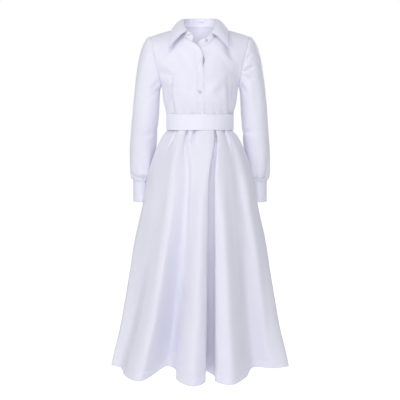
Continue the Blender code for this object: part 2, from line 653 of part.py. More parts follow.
def skirt_points(z):
    """The fold points of one section of the skirt, round from the right side by the front."""
    half = float(at_height(SKIRT_SIDE, "half_width", z))
    hip_half = float(at_height(SKIRT_SIDE, "half_width", HIP_Z))
    hem_half = float(at_height(SKIRT_SIDE, "half_width", HEM_Z))
    stops = (-SKIRT_ROWS[1], -HIP_Z, -HEM_Z)
    side_y = track(stops, (BODICE[0].middle, SKIRT_SIDE_Y, SKIRT_SIDE_Y), -z)
    belt_half = float(at_height(SKIRT_SIDE, "half_width", SKIRT_ROWS[1]))
    waist_out = float(at_height(SKIRT_SIDE, "half_width", max(z, SKIRT_ROWS[1]))) - BODICE[0].half_width
    points = [(-half, side_y)]
    for folds, face in ((FRONT_FOLDS, FRONT), (BACK_FOLDS, BACK)):
        deep = BODICE[0].front + BODICE[0].middle
        if face == BACK:
            deep = BODICE[0].back - BODICE[0].middle
            points.append((half, side_y))
        for fold in folds:
            turn = math.sqrt(1.0 - (fold.belt_x / belt_half) ** 2)
            tuck = fold.belt_tuck * ease((WAIST_Z - z) / (WAIST_Z - SKIRT_ROWS[1]))
            belt_y = BODICE[0].middle + face * ((deep + waist_out) * turn - tuck)
            shares = (fold.belt_x / belt_half, fold.hip[0] / hip_half, fold.hem[0] / hem_half)
            x = half * track(stops, shares, -z)
            y = track(stops, (belt_y, fold.hip[1], fold.hem[1]), -z)
            points.append((x, y))
    return np.array(points, float)


def skirt_ring(z):
    """One section of the skirt as a closed smooth curve, dented where each sleeve lies."""
    steps = [SIDE_COLUMNS, *(f.columns for f in FRONT_FOLDS), SIDE_COLUMNS, *(f.columns for f in BACK_FOLDS)]
    where = np.concatenate([i + np.arange(n) / n for i, n in enumerate(steps)])
    flat = curve_at(skirt_points(z), where, closed=True)
    near = np.exp(-(((z - DENT_Z) / DENT_HIGH) ** 2) - ((flat[:, 1] - DENT_Y) / DENT_WIDE) ** 2)
    aside = ease((np.abs(flat[:, 0]) - DENT_FROM_X) / (DENT_FULL_X - DENT_FROM_X))
    flat[:, 0] -= np.sign(flat[:, 0]) * SLEEVE_DENT * near * aside
    return np.column_stack([flat, np.full(len(flat), z)])


def skirt_pieces():
    """The grids of the skirt's front and back panels."""
    rings = np.array([skirt_ring(z) for z in SKIRT_ROWS])
    left = SIDE_COLUMNS + sum(f.columns for f in FRONT_FOLDS)
    front = rings[:, : left + 1].copy()
    back = np.concatenate([rings[:, left:], rings[:, :1]], axis=1)
    front[:, [0, -1], 1] -= SIDE_SEAM / 2
    back[:, [0, -1], 1] += SIDE_SEAM / 2
    return front, back


def satin(name, colour, roughness, metallic=0.0):
    """A plain glossy material."""
    material = bpy.data.materials.new(name)
    material.use_nodes = True
    shader = material.node_tree.nodes["Principled BSDF"]
    shader.inputs["Base Color"].default_value = (*colour, 1.0)
    shader.inputs["Roughness"].default_value = roughness
    shader.inputs["Metallic"].default_value = metallic
    material.diffuse_color = (*colour, 1.0)
    return material


def add_object(name, mesh, material, collection):
    """Links a mesh as a named object with its own material, shaded smooth."""
    mesh.materials.append(material)
    mesh.shade_smooth()
    piece = bpy.data.objects.new(name, mesh)
    collection.objects.link(piece)
    return piece


def add_cloth(name, grid, material, collection, tube=False, thick=WALL):
    """Makes an open grid of points into a wall of cloth."""
    rows, columns = grid.shape[:2]
    index = np.arange(rows * columns).reshape(rows, columns)
    if tube:
        index = np.concatenate([index, index[:, :1]], axis=1)
    faces = np.stack([index[:-1, :-1], index[:-1, 1:], index[1:, 1:], index[1:, :-1]], axis=-1)
    mesh = bpy.data.meshes.new(name)
    mesh.from_pydata((grid.reshape(-1, 3) * MM).tolist(), [], faces.reshape(-1, 4).tolist())
    piece = add_object(name, mesh, material, collection)
    wall = piece.modifiers.new("wall", "SOLIDIFY")
    wall.thickness = thick * MM
    wall.offset = 0.0
    return piece


def add_button(name, seat, normal, material, collection):
    """A round dished button, turned about its own axis and set against the cloth at seat."""
    shape = bmesh.new()
    points = [
        shape.verts.new((ring.radius * BUTTON_RADIUS * MM, 0.0, ring.height * BUTTON_THICK * MM))
        for ring in BUTTON
    ]
    edges = [shape.edges.new(pair) for pair in zip(points, points[1:])]
    bmesh.ops.spin(
        shape, geom=points + edges, cent=(0, 0, 0), axis=(0, 0, 1), angle=math.tau, steps=BUTTON_STEPS
    )
    bmesh.ops.remove_doubles(shape, verts=shape.verts, dist=0.00001)
    bmesh.ops.recalc_face_normals(shape, faces=shape.faces)
    mesh = bpy.data.meshes.new(name)
    shape.to_mesh(mesh)
    shape.free()
    piece = add_object(name, mesh, material, collection)
    turn = Vector(normal).to_track_quat("Z", "Y").to_matrix().to_4x4()
    piece.matrix_world = Matrix.Translation(Vector(seat) * MM) @ turn
    return piece


def grid_point(grid, row, column):
    """The point of a grid at a row and column that need not be whole."""
    low, left = int(row), int(column)
    up, across = row - low, column - left
    lower = grid[low, left] * (1 - across) + grid[low, left + 1] * across
    upper = grid[low + 1, left] * (1 - across) + grid[low + 1, left + 1] * across
    return lower * (1 - up) + upper * up


def seat_on(grid, row, column, outward):
    """A seat just outside the wall of a grid, and its normal on the side that outward names."""
    point = grid_point(grid, row, column)
    along = grid_point(grid, row, column + 0.1) - point
    up = grid_point(grid, row + 0.1, column) - point
    normal = np.cross(along, up)
    normal /= np.linalg.norm(normal)
    normal *= math.copysign(1.0, float(np.dot(normal, outward)))
    return point + normal * (WALL / 2 + BUTTON_CLEAR), normal


def add_bodice(cloth, pearl, collection):
    """The two fronts, the button band on the upper one with the button that shows, and the back."""
    for side, word in ((RIGHT, "right"), (LEFT, "left")):
        add_cloth(f"front_{word}", front_piece(side, band=False), cloth, collection)
    add_cloth("bodice_back", back_piece(), cloth, collection)
    band = front_piece(RIGHT, band=True)
    add_cloth("button_band", band, cloth, collection)
    seat, normal = seat_on(band, FRONT_BUTTON_ROW, FRONT_BUTTON_COLUMN, (0, -1, 0))
    add_button("button_front", seat, normal, pearl, collection)


def add_collar(cloth, pearl, collection):
    """The stand with its button, the leaf and the short hanger loop inside the nape."""
    add_cloth("collar_stand", stand_piece(), cloth, collection)
    where = STAND_BUTTON_NECK + np.array([0.0, STAND_BUTTON_STEP])
    heights = (STAND_BUTTON_UP, STAND_BUTTON_UP + STAND_BUTTON_STEP)
    patch = np.array([stand_point(where, np.full(2, up)) for up in heights])
    seat, normal = seat_on(patch, 0.0, 0.0, (0, -1, 0))
    add_button("button_stand", seat, normal, pearl, collection)
    add_cloth("collar_leaf", collar_piece(), cloth, collection)
    nape = NECK_LEFT_SHOULDER + 2
    where = nape + np.linspace(-LOOP_HALF_NECK, LOOP_HALF_NECK, LOOP_COLUMNS + 1)
    loop = np.array([stand_point(where, np.full(len(where), up)) for up in (LOOP_UP_LOW, LOOP_UP_HIGH)])
    loop[..., 1] -= WALL + LOOP_CLEAR
    add_cloth("hanger_loop", loop, cloth, collection)


def add_sleeves(cloth, pearl, collection):
    """Each sleeve with its cuff and cuff button."""
    for side, word in ((RIGHT, "right"), (LEFT, "left")):
        add_cloth(f"sleeve_{word}", sleeve_piece(side), cloth, collection, tube=True)
        around = cuff_around(side)
        band = wrapped_band(
            around, CUFF_BOTTOM_Z, CUFF_TOP_Z, CUFF_START, CUFF_OVERLAP, CUFF_LIFT, CUFF_COLUMNS
        )
        add_cloth(f"cuff_{word}", band, cloth, collection)
        seat, normal = seat_on(band, CUFF_BUTTON_ROW, CUFF_BUTTON_COLUMN, (side * 0.5, 1, 0))
        add_button(f"button_cuff_{word}", seat, normal, pearl, collection)


def add_skirt(cloth, collection):
    """The front and back panels."""
    front, back = skirt_pieces()
    add_cloth("skirt_front", front, cloth, collection)
    add_cloth("skirt_back", back, cloth, collection)


def add_belt(cloth, steel, collection):
    """The sash, its ends overlapping at the back with two flat hooks between them."""

    def around(angle, out):
        return waist_around(angle, out + BELT_OUT)

    band = wrapped_band(
        around, BELT_BOTTOM_Z, BELT_TOP_Z, BELT_START, BELT_OVERLAP, BELT_LIFT, BELT_COLUMNS
    )
    add_cloth("belt", band, cloth, collection)
    place = around(np.radians([BELT_END_ANGLE]), BELT_LIFT / 2)[0]
    for word, rise in (("upper", HOOK_RISE), ("lower", -HOOK_RISE)):
        shape = bmesh.new()
        bmesh.ops.create_cube(shape, size=MM)
        bmesh.ops.scale(shape, vec=(HOOK_WIDE, HOOK_THICK, HOOK_HIGH), verts=shape.verts)
        mesh = bpy.data.meshes.new(f"belt_hook_{word}")
        shape.to_mesh(mesh)
        shape.free()
        hook = add_object(f"belt_hook_{word}", mesh, steel, collection)
        hook.location = Vector((place[0], place[1], (BELT_TOP_Z + BELT_BOTTOM_Z) / 2 + rise)) * MM


def main():
    """Clears the scene and models the dress."""
    for old in list(bpy.data.objects):
        bpy.data.objects.remove(old)
    collection = bpy.data.collections.new("shirt_dress")
    bpy.context.scene.collection.children.link(collection)
    cloth = satin("white_satin", WHITE, 0.38)
    sash = satin("belt_satin", WHITE, 0.34)
    pearl = satin("pearl_button", PEARL, 0.2)
    steel = satin("steel_hook", STEEL, 0.3, metallic=1.0)
    add_bodice(cloth, pearl, collection)
    add_collar(cloth, pearl, collection)
    add_sleeves(cloth, pearl, collection)
    add_skirt(cloth, collection)
    add_belt(sash, steel, collection)


main()
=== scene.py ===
"""A white satin shirt dress in the hollow form it has when worn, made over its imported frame.

Each class is one sub-assembly of the dress and works out its own surfaces. Lengths in the classes
are millimetres and the meshes are metres. +Z is up, the front faces -Y and the wearer's left is +X.
"""

import logging
import math
from collections.abc import Sequence
from dataclasses import dataclass, field
from enum import Enum
from typing import NamedTuple

import bpy
import numpy as np
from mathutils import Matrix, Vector


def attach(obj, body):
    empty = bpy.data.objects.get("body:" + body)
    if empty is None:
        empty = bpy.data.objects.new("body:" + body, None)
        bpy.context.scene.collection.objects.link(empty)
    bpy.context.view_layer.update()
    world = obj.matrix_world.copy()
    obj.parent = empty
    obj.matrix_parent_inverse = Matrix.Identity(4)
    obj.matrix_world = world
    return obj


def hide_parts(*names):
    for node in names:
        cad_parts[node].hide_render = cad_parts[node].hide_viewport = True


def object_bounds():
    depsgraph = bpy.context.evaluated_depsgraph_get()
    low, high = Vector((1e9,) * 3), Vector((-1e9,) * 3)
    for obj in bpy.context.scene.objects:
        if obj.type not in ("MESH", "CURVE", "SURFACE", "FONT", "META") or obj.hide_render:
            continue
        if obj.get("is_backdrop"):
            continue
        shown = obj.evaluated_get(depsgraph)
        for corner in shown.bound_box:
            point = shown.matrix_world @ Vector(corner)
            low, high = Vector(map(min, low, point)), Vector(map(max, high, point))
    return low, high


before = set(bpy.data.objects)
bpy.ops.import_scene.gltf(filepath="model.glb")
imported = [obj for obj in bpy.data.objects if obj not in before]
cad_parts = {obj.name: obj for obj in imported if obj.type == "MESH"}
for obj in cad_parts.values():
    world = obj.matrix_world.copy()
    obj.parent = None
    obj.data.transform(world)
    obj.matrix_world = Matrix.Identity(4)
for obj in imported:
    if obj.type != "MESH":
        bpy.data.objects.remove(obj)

log = logging.getLogger("shirt_dress")

MM = 0.001
BODY = "root"
WAIST_SEAM_Z = -345.0
UV_NAME = "cloth"


class Side(Enum):
    """The wearer's right or left, as the sign of x."""

    RIGHT = -1
    LEFT = 1

    @property
    def word(self) -> str:
        """The word that ends the names of pieces on this side."""
        return self.name.lower()


class Face(Enum):
    """The front or back of the dress, as the sign of y."""

    FRONT = -1
    BACK = 1


class Turn(Enum):
    """Whether a surface is open at its sides or joins up round a tube."""

    OPEN = "open"
    ROUND = "round"


# Curves and soft steps


def ease(share: np.ndarray | float) -> np.ndarray:
    """A smooth step: 3s^2 - 2s^3 of the share, held between 0 and 1.

    Args:
        share: where on the step, 0 at its start and 1 at its end.

    Returns:
        The height of the step there.
    """
    share = np.clip(share, 0.0, 1.0)
    return share * share * (3.0 - 2.0 * share)


def bell(away: np.ndarray, width: float | np.ndarray) -> np.ndarray:
    """A bell of a distance: e to the power of minus its square, in widths."""
    return np.exp(-((away / width) ** 2))


def unit(vectors: np.ndarray) -> np.ndarray:
    """The vectors, one along the last axis, at length 1."""
    return vectors / np.linalg.norm(vectors, axis=-1, keepdims=True)


def level_out(points: np.ndarray, x: float, y: float) -> np.ndarray:
    """The level unit ways to the points from the upright line at x and y."""
    return unit((points - np.array([x, y, 0.0])) * np.array([1.0, 1.0, 0.0]))


def lapped(share: np.ndarray, overlap: float) -> np.ndarray:
    """The step, from 0 to 1, that lifts a band's outer end onto its inner one.

    Args:
        share: the places round the band, from its inner end to its outer one.
        overlap: the degrees by which the band goes round more than once.

    Returns:
        The share of the lift at each place.
    """
    free = 1.0 - 1.35 * overlap / (360.0 + overlap)
    return ease((share - free + 0.1) / 0.1)


def track(stops: Sequence[float], values: Sequence[float], at: np.ndarray) -> np.ndarray:
    """A cubic through the values that never overshoots them.

    The slope at each stop is the harmonic mean of the rises on both sides, or 0 at a turning point.

    Args:
        stops: rising places.
        values: the value at each.
        at: where to read it.

    Returns:
        The values there, in the shape of `at`.
    """
    stops, values, at = (np.asarray(a, float) for a in (stops, values, at))
    step = np.diff(stops)
    rise = np.diff(values) / step
    same_way = rise[:-1] * rise[1:] > 0
    before, after = (np.where(same_way, r, 1.0) for r in (rise[:-1], rise[1:]))
    inner = np.where(same_way, 2.0 * before * after / (before + after), 0.0)
    slope = np.concatenate([rise[:1], inner, rise[-1:]])
    span = np.clip(np.searchsorted(stops, at, side="right") - 1, 0, len(step) - 1)
    t = np.clip((at - stops[span]) / step[span], 0.0, 1.0)
    back = 1.0 - t
    return (
        values[span] * (1 + 2 * t) * back**2
        + values[span + 1] * t**2 * (3 - 2 * t)
        + step[span] * t * back * (slope[span] * back - slope[span + 1] * t)
    )


def curve_at(points: np.ndarray, where: np.ndarray, turn: Turn = Turn.OPEN) -> np.ndarray:
    """Points of a smooth curve: a cubic on each span, its pace set by the root of the span's length.

    Args:
        points: the points that the curve passes, one row each.
        where: places on it, so that 2.5 is halfway between the third and fourth point.
        turn: whether the last point joins up with the first.

    Returns:
        One row for each place.
    """
    points = np.asarray(points, float)
    where = np.asarray(where, float)
    count = len(points)
    spans = count if turn is Turn.ROUND else count - 1
    following = (np.arange(spans) + 1) % count
    move = points[following] - points[:spans]
    length = np.sqrt(np.linalg.norm(move, axis=1))
    rate = move / length[:, None]
    order = np.arange(count)
    before = (order - 1) % spans if turn is Turn.ROUND else np.maximum(order - 1, 0)
    after = order % spans if turn is Turn.ROUND else np.minimum(order, spans - 1)
    weight = (length[after] / (length[before] + length[after]))[:, None]
    tangent = rate[before] * weight + rate[after] * (1.0 - weight)
    span = np.clip(np.floor(where).astype(int), 0, spans - 1)
    t = (where - span)[:, None]
    back = 1.0 - t
    reach = length[span][:, None]
    return (
        points[span] * (1 + 2 * t) * back**2
        + points[following[span]] * t**2 * (3 - 2 * t)
        + reach * t * back * (tangent[span] * back - tangent[following[span]] * t)
    )


def spaced(length: float, step: float, edge: Sequence[float] = (1.0, 2.5)) -> np.ndarray:
    """Shares from 0 to 1 with even steps between and closer ones at both ends.

    Args:
        length: the real length that the shares divide.
        step: the even step.
        edge: distances from each end that get a point of their own.

    Returns:
        Rising shares.
    """
    near = [0.0, *edge]
    inner = np.linspace(near[-1], length - near[-1], max(2, round(length / step)))
    return np.concatenate([near[:-1], inner, [length - n for n in reversed(near[:-1])]]) / length


def ripple(across: np.ndarray, down: np.ndarray, size: float, height: float) -> np.ndarray:
    """Slow uneven waves: a sum of seven sines, each turned and shorter than the last.

    Args:
        across: distance across the cloth.
        down: distance down the cloth.
        size: the longest wave.
        height: about the largest rise.

    Returns:
        The rise at each point.
    """
    order = np.arange(7.0)
    turn = 2.4 * order + 0.4
    pace = (1.0 + 0.43 * order) * math.tau / size
    wave = (
        across[..., None] * np.cos(turn) + down[..., None] * np.sin(turn)
    ) * pace + 1.9 * order
    return height * (np.sin(wave) / (1.0 + 0.6 * order)).sum(axis=-1) / 1.8


class Crease(NamedTuple):
    """A soft trough or ridge along a bowed line, in a piece's own sizes.

    start, middle and end are places on the piece, and depth is how far it sinks, or rises if negative.
    """

    name: str
    start: tuple[float, float]
    middle: tuple[float, float]
    end: tuple[float, float]
    width: float
    depth: float


CREASE_STEPS = 33


def creased(creases: Sequence[Crease], across: np.ndarray, down: np.ndarray) -> np.ndarray:
    """The rise that a table of creases gives: each is a bell of the distance to its bowed line.

    Args:
        creases: the table.
        across: one coordinate of each point.
        down: the other.

    Returns:
        The sum of their rises, which fade over the last third at both ends.
    """
    total = np.zeros_like(across)
    t = np.linspace(0.0, 1.0, CREASE_STEPS)
    fade = np.sin(math.pi * np.clip(t * 0.94 + 0.03, 0.0, 1.0)) ** 0.6
    for crease in creases:
        line = (
            np.outer((1 - t) ** 2, crease.start)
            + np.outer(2 * t * (1 - t), crease.middle)
            + np.outer(t**2, crease.end)
        )
        away = (across[..., None] - line[:, 0]) ** 2 + (down[..., None] - line[:, 1]) ** 2
        nearest = away.argmin(axis=-1)
        dip = np.exp(-away.min(axis=-1) / crease.width**2)
        total -= crease.depth * dip * fade[nearest]
    return total


# Surfaces and the pieces made from them


@dataclass
class Surface:
    """A grid of points in millimetres, in rows, that may join up round a tube."""

    points: np.ndarray
    turn: Turn = Turn.OPEN
    centre_y: float = 5.0

    def normals(self) -> np.ndarray:
        """Unit normals away from the middle: the cross product of the steps along and between rows."""
        p = self.points
        if self.turn is Turn.ROUND:
            along = np.roll(p, -1, axis=1) - np.roll(p, 1, axis=1)
            middle = p.mean(axis=1, keepdims=True)
        else:
            along = np.gradient(p, axis=1)
            middle = np.array([0.0, self.centre_y, 0.0]) + p * np.array([0.0, 0.0, 1.0])
        normal = np.cross(along, np.gradient(p, axis=0))
        normal /= np.maximum(np.linalg.norm(normal, axis=-1, keepdims=True), 1e-9)
        outward = float((normal * (p - middle)).sum())
        return normal * math.copysign(1.0, outward)

    def moved(self, rise: np.ndarray) -> "Surface":
        """The surface with each point moved out along its normal by the rise."""
        return Surface(self.points + self.normals() * rise[..., None], self.turn, self.centre_y)

    def across(self) -> np.ndarray:
        """The length along each row from its first point, and back to it at the end of a tube."""
        p = self.points
        if self.turn is Turn.ROUND:
            p = np.concatenate([p, p[:, :1]], axis=1)
        step = np.linalg.norm(np.diff(p, axis=1), axis=-1)
        return np.concatenate([np.zeros((len(p), 1)), np.cumsum(step, axis=1)], axis=1)

    def down(self) -> np.ndarray:
        """The length down each column from the first row."""
        step = np.linalg.norm(np.diff(self.points, axis=0), axis=-1)
        start = np.zeros((1, self.points.shape[1]))
        return np.concatenate([start, np.cumsum(step, axis=0)])

    def line_across(self, row: float) -> "Line":
        """The points and normals along one row, which need not be whole."""
        low = min(int(row), len(self.points) - 2)
        share = row - low
        normals = self.normals()
        points = self.points[low] * (1 - share) + self.points[low + 1] * share
        return Line(points, normals[low] * (1 - share) + normals[low + 1] * share)

    def line_inside(self, column: int, inset: float) -> "Line":
        """The points and normals down a column at an end of the rows, set in by a distance."""
        across = self.across()
        if column < 0:
            across = across[:, -1:] - across
        places = np.array([np.interp(inset, r, i) for r, i in zip(*ordered(across))])
        low = np.clip(np.floor(places).astype(int), 0, self.points.shape[1] - 2)
        share = (places - low)[:, None]
        rows = np.arange(len(places))
        normals = self.normals()
        points = self.points[rows, low] * (1 - share) + self.points[rows, low + 1] * share
        normal = normals[rows, low] * (1 - share) + normals[rows, low + 1] * share
        return Line(points, normal)


def ordered(distance: np.ndarray) -> tuple[np.ndarray, np.ndarray]:
    """Each row's distances in rising order, with the columns that they belong to."""
    order = np.argsort(distance, axis=1)
    return np.take_along_axis(distance, order, axis=1), order.astype(float)


@dataclass
class Line:
    """A run of points with the normals of the cloth that they lie on."""

    points: np.ndarray
    normals: np.ndarray

    def every(self, pitch: float, lift: float) -> tuple[np.ndarray, np.ndarray, np.ndarray]:
        """Even places along the line.

        Args:
            pitch: the distance between them.
            lift: how far they stand off the cloth.

        Returns:
            The places, the unit ways along the line there, and the unit normals there.
        """
        step = np.linalg.norm(np.diff(self.points, axis=0), axis=1)
        length = np.concatenate([[0.0], np.cumsum(step)])
        at = np.arange(pitch / 2, length[-1], pitch)
        place, ahead, behind, normal = (
            np.stack([np.interp(where, length, column) for column in values.T], axis=1)
            for where, values in (
                (at, self.points),
                (at + 0.5, self.points),
                (at - 0.5, self.points),
                (at, self.normals),
            )
        )
        normal = unit(normal)
        way = ahead - behind
        way /= np.maximum(np.linalg.norm(way, axis=1, keepdims=True), 1e-9)
        return place + normal * lift, way, normal


def softened(surface: Surface, z: float, reach: float) -> Surface:
    """Evens the rows near a height: each moves towards the mean of its neighbours, by a bell.

    Args:
        surface: a panel, whose side edges stay.
        z: the height.
        reach: how far from it the rows move.

    Returns:
        The evened panel.
    """
    points = surface.points.copy()
    across = surface.across()
    hold = ease(np.minimum(across, across[:, -1:] - across) / 24.0)[1:-1, :, None]
    for _ in range(14):
        middle = (points[:-2] + points[2:]) / 2
        weight = 0.6 * hold * bell(points[1:-1, :, 2:] - z, reach)
        points[1:-1] += (middle - points[1:-1]) * weight
    return Surface(points, surface.turn, surface.centre_y)


def seam_turned(
    surface: Surface, ends: Sequence[int], turn_in: float = 0.15, reach: float = 1.8
) -> np.ndarray:
    """How far a panel sinks beside its seams: a bell of the distance from an end of its rows.

    Args:
        surface: the panel.
        ends: 0 for the first column, -1 for the last.
        turn_in: how deep the edge goes.
        reach: how wide the groove is.

    Returns:
        A rise, below 0, for each point.
    """
    across = surface.across()[:, : surface.points.shape[1]]
    rise = np.zeros(across.shape)
    for end in ends:
        away = across if end == 0 else across[:, -1:] - across
        rise -= turn_in * bell(away, reach)
    return rise


# Finishes


@dataclass(frozen=True)
class Satin:
    """Smooth white satin: a fine weave, slow cockles that break up the sheen, and a soft gloss."""

    name: str
    colour: tuple[float, float, float]
    shade: tuple[float, float, float]
    roughness: float = 0.44
    cockle: float = 0.0009
    weave_pitch: float = 0.0007
    sheen: float = 0.25
    through: float = 0.35

    def material(self) -> bpy.types.Material:
        """Makes the node material. The weave follows the piece's own UV map, in metres."""
        material, nodes, links, shader = fresh_material(self.name)
        shader.inputs["Sheen Weight"].default_value = self.sheen
        shader.inputs["Sheen Roughness"].default_value = 0.35
        shader.inputs["Specular IOR Level"].default_value = 0.45
        shader.inputs["Subsurface Weight"].default_value = self.through
        shader.inputs["Subsurface Radius"].default_value = (1.0, 1.0, 1.0)
        shader.inputs["Subsurface Scale"].default_value = 0.0015
        places = nodes.new("ShaderNodeTexCoord")
        uv = nodes.new("ShaderNodeUVMap")
        uv.uv_map = UV_NAME
        cloud = noise(nodes, links, places.outputs["Object"], scale=7.0, detail=2.0)
        tint(nodes, links, cloud.outputs["Fac"], (self.colour, self.shade), shader)
        patch = noise(nodes, links, places.outputs["Object"], scale=24.0, detail=3.0)
        ends = (self.roughness - 0.05, self.roughness + 0.07)
        ranged(nodes, links, patch.outputs["Fac"], ends, shader.inputs["Roughness"])
        soft = noise(nodes, links, places.outputs["Object"], scale=19.0, detail=1.5)
        slow = bump(nodes, links, soft.outputs["Fac"], strength=0.5, distance=self.cockle)
        threads = nodes.new("ShaderNodeTexWave")
        threads.bands_direction = "DIAGONAL"
        threads.inputs["Scale"].default_value = 0.314 / self.weave_pitch
        threads.inputs["Distortion"].default_value = 1.2
        threads.inputs["Detail"].default_value = 1.0
        links.new(uv.outputs["UV"], threads.inputs["Vector"])
        fine = bump(nodes, links, threads.outputs["Fac"], strength=0.12, distance=0.00004)
        links.new(slow.outputs["Normal"], fine.inputs["Normal"])
        links.new(fine.outputs["Normal"], shader.inputs["Normal"])
        return material


@dataclass(frozen=True)
class Pearl:
    """Polished pearly button stuff: swirled pale bands under a clear gloss."""

    name: str = "pearl"
    light: tuple[float, float, float] = (0.80, 0.80, 0.84)
    dark: tuple[float, float, float] = (0.46, 0.47, 0.54)

    def material(self) -> bpy.types.Material:
        """Makes the node material from a noise that bends a band pattern."""
        material, nodes, links, shader = fresh_material(self.name)
        shader.inputs["Coat Weight"].default_value = 0.6
        shader.inputs["Coat Roughness"].default_value = 0.08
        shader.inputs["Roughness"].default_value = 0.22
        places = nodes.new("ShaderNodeTexCoord")
        bands = nodes.new("ShaderNodeTexWave")
        bands.inputs["Scale"].default_value = 60.0
        bands.inputs["Distortion"].default_value = 6.0
        links.new(places.outputs["Object"], bands.inputs["Vector"])
        tint(nodes, links, bands.outputs["Fac"], (self.light, self.dark), shader)
        return material


@dataclass(frozen=True)
class Steel:
    """Bright pressed steel with fine rolling lines."""

    name: str = "steel"
    colour: tuple[float, float, float] = (0.55, 0.55, 0.58)

    def material(self) -> bpy.types.Material:
        """Makes the node material: stretched noise varies its roughness."""
        material, nodes, links, shader = fresh_material(self.name)
        shader.inputs["Base Color"].default_value = (*self.colour, 1.0)
        shader.inputs["Metallic"].default_value = 1.0
        places = nodes.new("ShaderNodeTexCoord")
        stretch = nodes.new("ShaderNodeMapping")
        stretch.inputs["Scale"].default_value = (300.0, 300.0, 6000.0)
        links.new(places.outputs["Object"], stretch.inputs["Vector"])
        lines = noise(nodes, links, stretch.outputs["Vector"], scale=1.0, detail=2.0)
        ranged(nodes, links, lines.outputs["Fac"], (0.22, 0.42), shader.inputs["Roughness"])
        return material


@dataclass(frozen=True)
class Thread:
    """Sewing thread: two plies twisted, a little duller than the satin."""

    name: str = "thread"
    colour: tuple[float, float, float] = (0.74, 0.74, 0.80)
    twist: tuple[float, float, float] = (0.60, 0.60, 0.67)

    def material(self) -> bpy.types.Material:
        """Makes the node material: diagonal bands for the twist."""
        material, nodes, links, shader = fresh_material(self.name)
        shader.inputs["Roughness"].default_value = 0.5
        shader.inputs["Sheen Weight"].default_value = 0.2
        places = nodes.new("ShaderNodeTexCoord")
        plies = nodes.new("ShaderNodeTexWave")
        plies.bands_direction = "DIAGONAL"
        plies.inputs["Scale"].default_value = 500.0
        links.new(places.outputs["Object"], plies.inputs["Vector"])
        tint(nodes, links, plies.outputs["Fac"], (self.colour, self.twist), shader)
        return material


def fresh_material(
    name: str,
) -> tuple[bpy.types.Material, bpy.types.Nodes, bpy.types.NodeLinks, bpy.types.ShaderNode]:
    """A new node material.

    Args:
        name: its name.

    Returns:
        The material, its nodes, its links and its shader.
    """
    material = bpy.data.materials.new(name)
    material.use_nodes = True
    tree = material.node_tree
    return material, tree.nodes, tree.links, tree.nodes["Principled BSDF"]


def tint(
    nodes: bpy.types.Nodes,
    links: bpy.types.NodeLinks,
    share: bpy.types.NodeSocket,
    colours: tuple[tuple[float, float, float], tuple[float, float, float]],
    shader: bpy.types.ShaderNode,
) -> None:
    """Colours a shader by a mix of two colours.

    Args:
        nodes: the material's nodes.
        links: its links.
        share: what says how much there is of the second colour.
        colours: the two colours.
        shader: the shader that they colour.
    """
    mix = nodes.new("ShaderNodeMix")
    mix.data_type = "RGBA"
    for socket, colour in zip(("A", "B"), colours):
        mix.inputs[socket].default_value = (*colour, 1.0)
    links.new(share, mix.inputs["Factor"])
    links.new(mix.outputs["Result"], shader.inputs["Base Color"])


def ranged(
    nodes: bpy.types.Nodes,
    links: bpy.types.NodeLinks,
    share: bpy.types.NodeSocket,
    ends: tuple[float, float],
    feeds: bpy.types.NodeSocket,
) -> None:
    """Feeds a socket with a value between two ends.

    Args:
        nodes: the material's nodes.
        links: its links.
        share: how far the value is from the first end to the second.
        ends: the two ends.
        feeds: the socket.
    """
    node = nodes.new("ShaderNodeMapRange")
    node.inputs["To Min"].default_value, node.inputs["To Max"].default_value = ends
    links.new(share, node.inputs["Value"])
    links.new(node.outputs["Result"], feeds)


def noise(
    nodes: bpy.types.Nodes,
    links: bpy.types.NodeLinks,
    places: bpy.types.NodeSocket,
    scale: float,
    detail: float,
) -> bpy.types.ShaderNode:
    """A noise node.

    Args:
        nodes: the material's nodes.
        links: its links.
        places: the coordinates that it reads.
        scale: its waves a metre.
        detail: how many finer layers it has.

    Returns:
        The node.
    """
    node = nodes.new("ShaderNodeTexNoise")
    node.inputs["Scale"].default_value = scale
    node.inputs["Detail"].default_value = detail
    links.new(places, node.inputs["Vector"])
    return node


def bump(
    nodes: bpy.types.Nodes,
    links: bpy.types.NodeLinks,
    height: bpy.types.NodeSocket,
    strength: float,
    distance: float,
) -> bpy.types.ShaderNode:
    """A bump node.

    Args:
        nodes: the material's nodes.
        links: its links.
        height: what feeds it.
        strength: how much of it shows.
        distance: the height in metres of a full step.

    Returns:
        The node.
    """
    node = nodes.new("ShaderNodeBump")
    node.inputs["Strength"].default_value = strength
    node.inputs["Distance"].default_value = distance
    links.new(height, node.inputs["Height"])
    return node


@dataclass
class Wardrobe:
    """The finishes, made once each."""

    satin: bpy.types.Material = field(
        default_factory=lambda: Satin("satin", (0.845, 0.842, 0.94), (0.80, 0.798, 0.905)).material()
    )
    sash: bpy.types.Material = field(
        default_factory=lambda: Satin(
            "sash_satin", (0.86, 0.865, 0.97), (0.825, 0.83, 0.94), cockle=0.0005
        ).material()
    )
    pearl: bpy.types.Material = field(default_factory=lambda: Pearl().material())
    steel: bpy.types.Material = field(default_factory=lambda: Steel().material())
    thread: bpy.types.Material = field(default_factory=lambda: Thread().material())
    worked: bpy.types.Material = field(
        default_factory=lambda: Thread(
            "buttonhole_thread", (0.50, 0.50, 0.57), (0.38, 0.38, 0.45)
        ).material()
    )


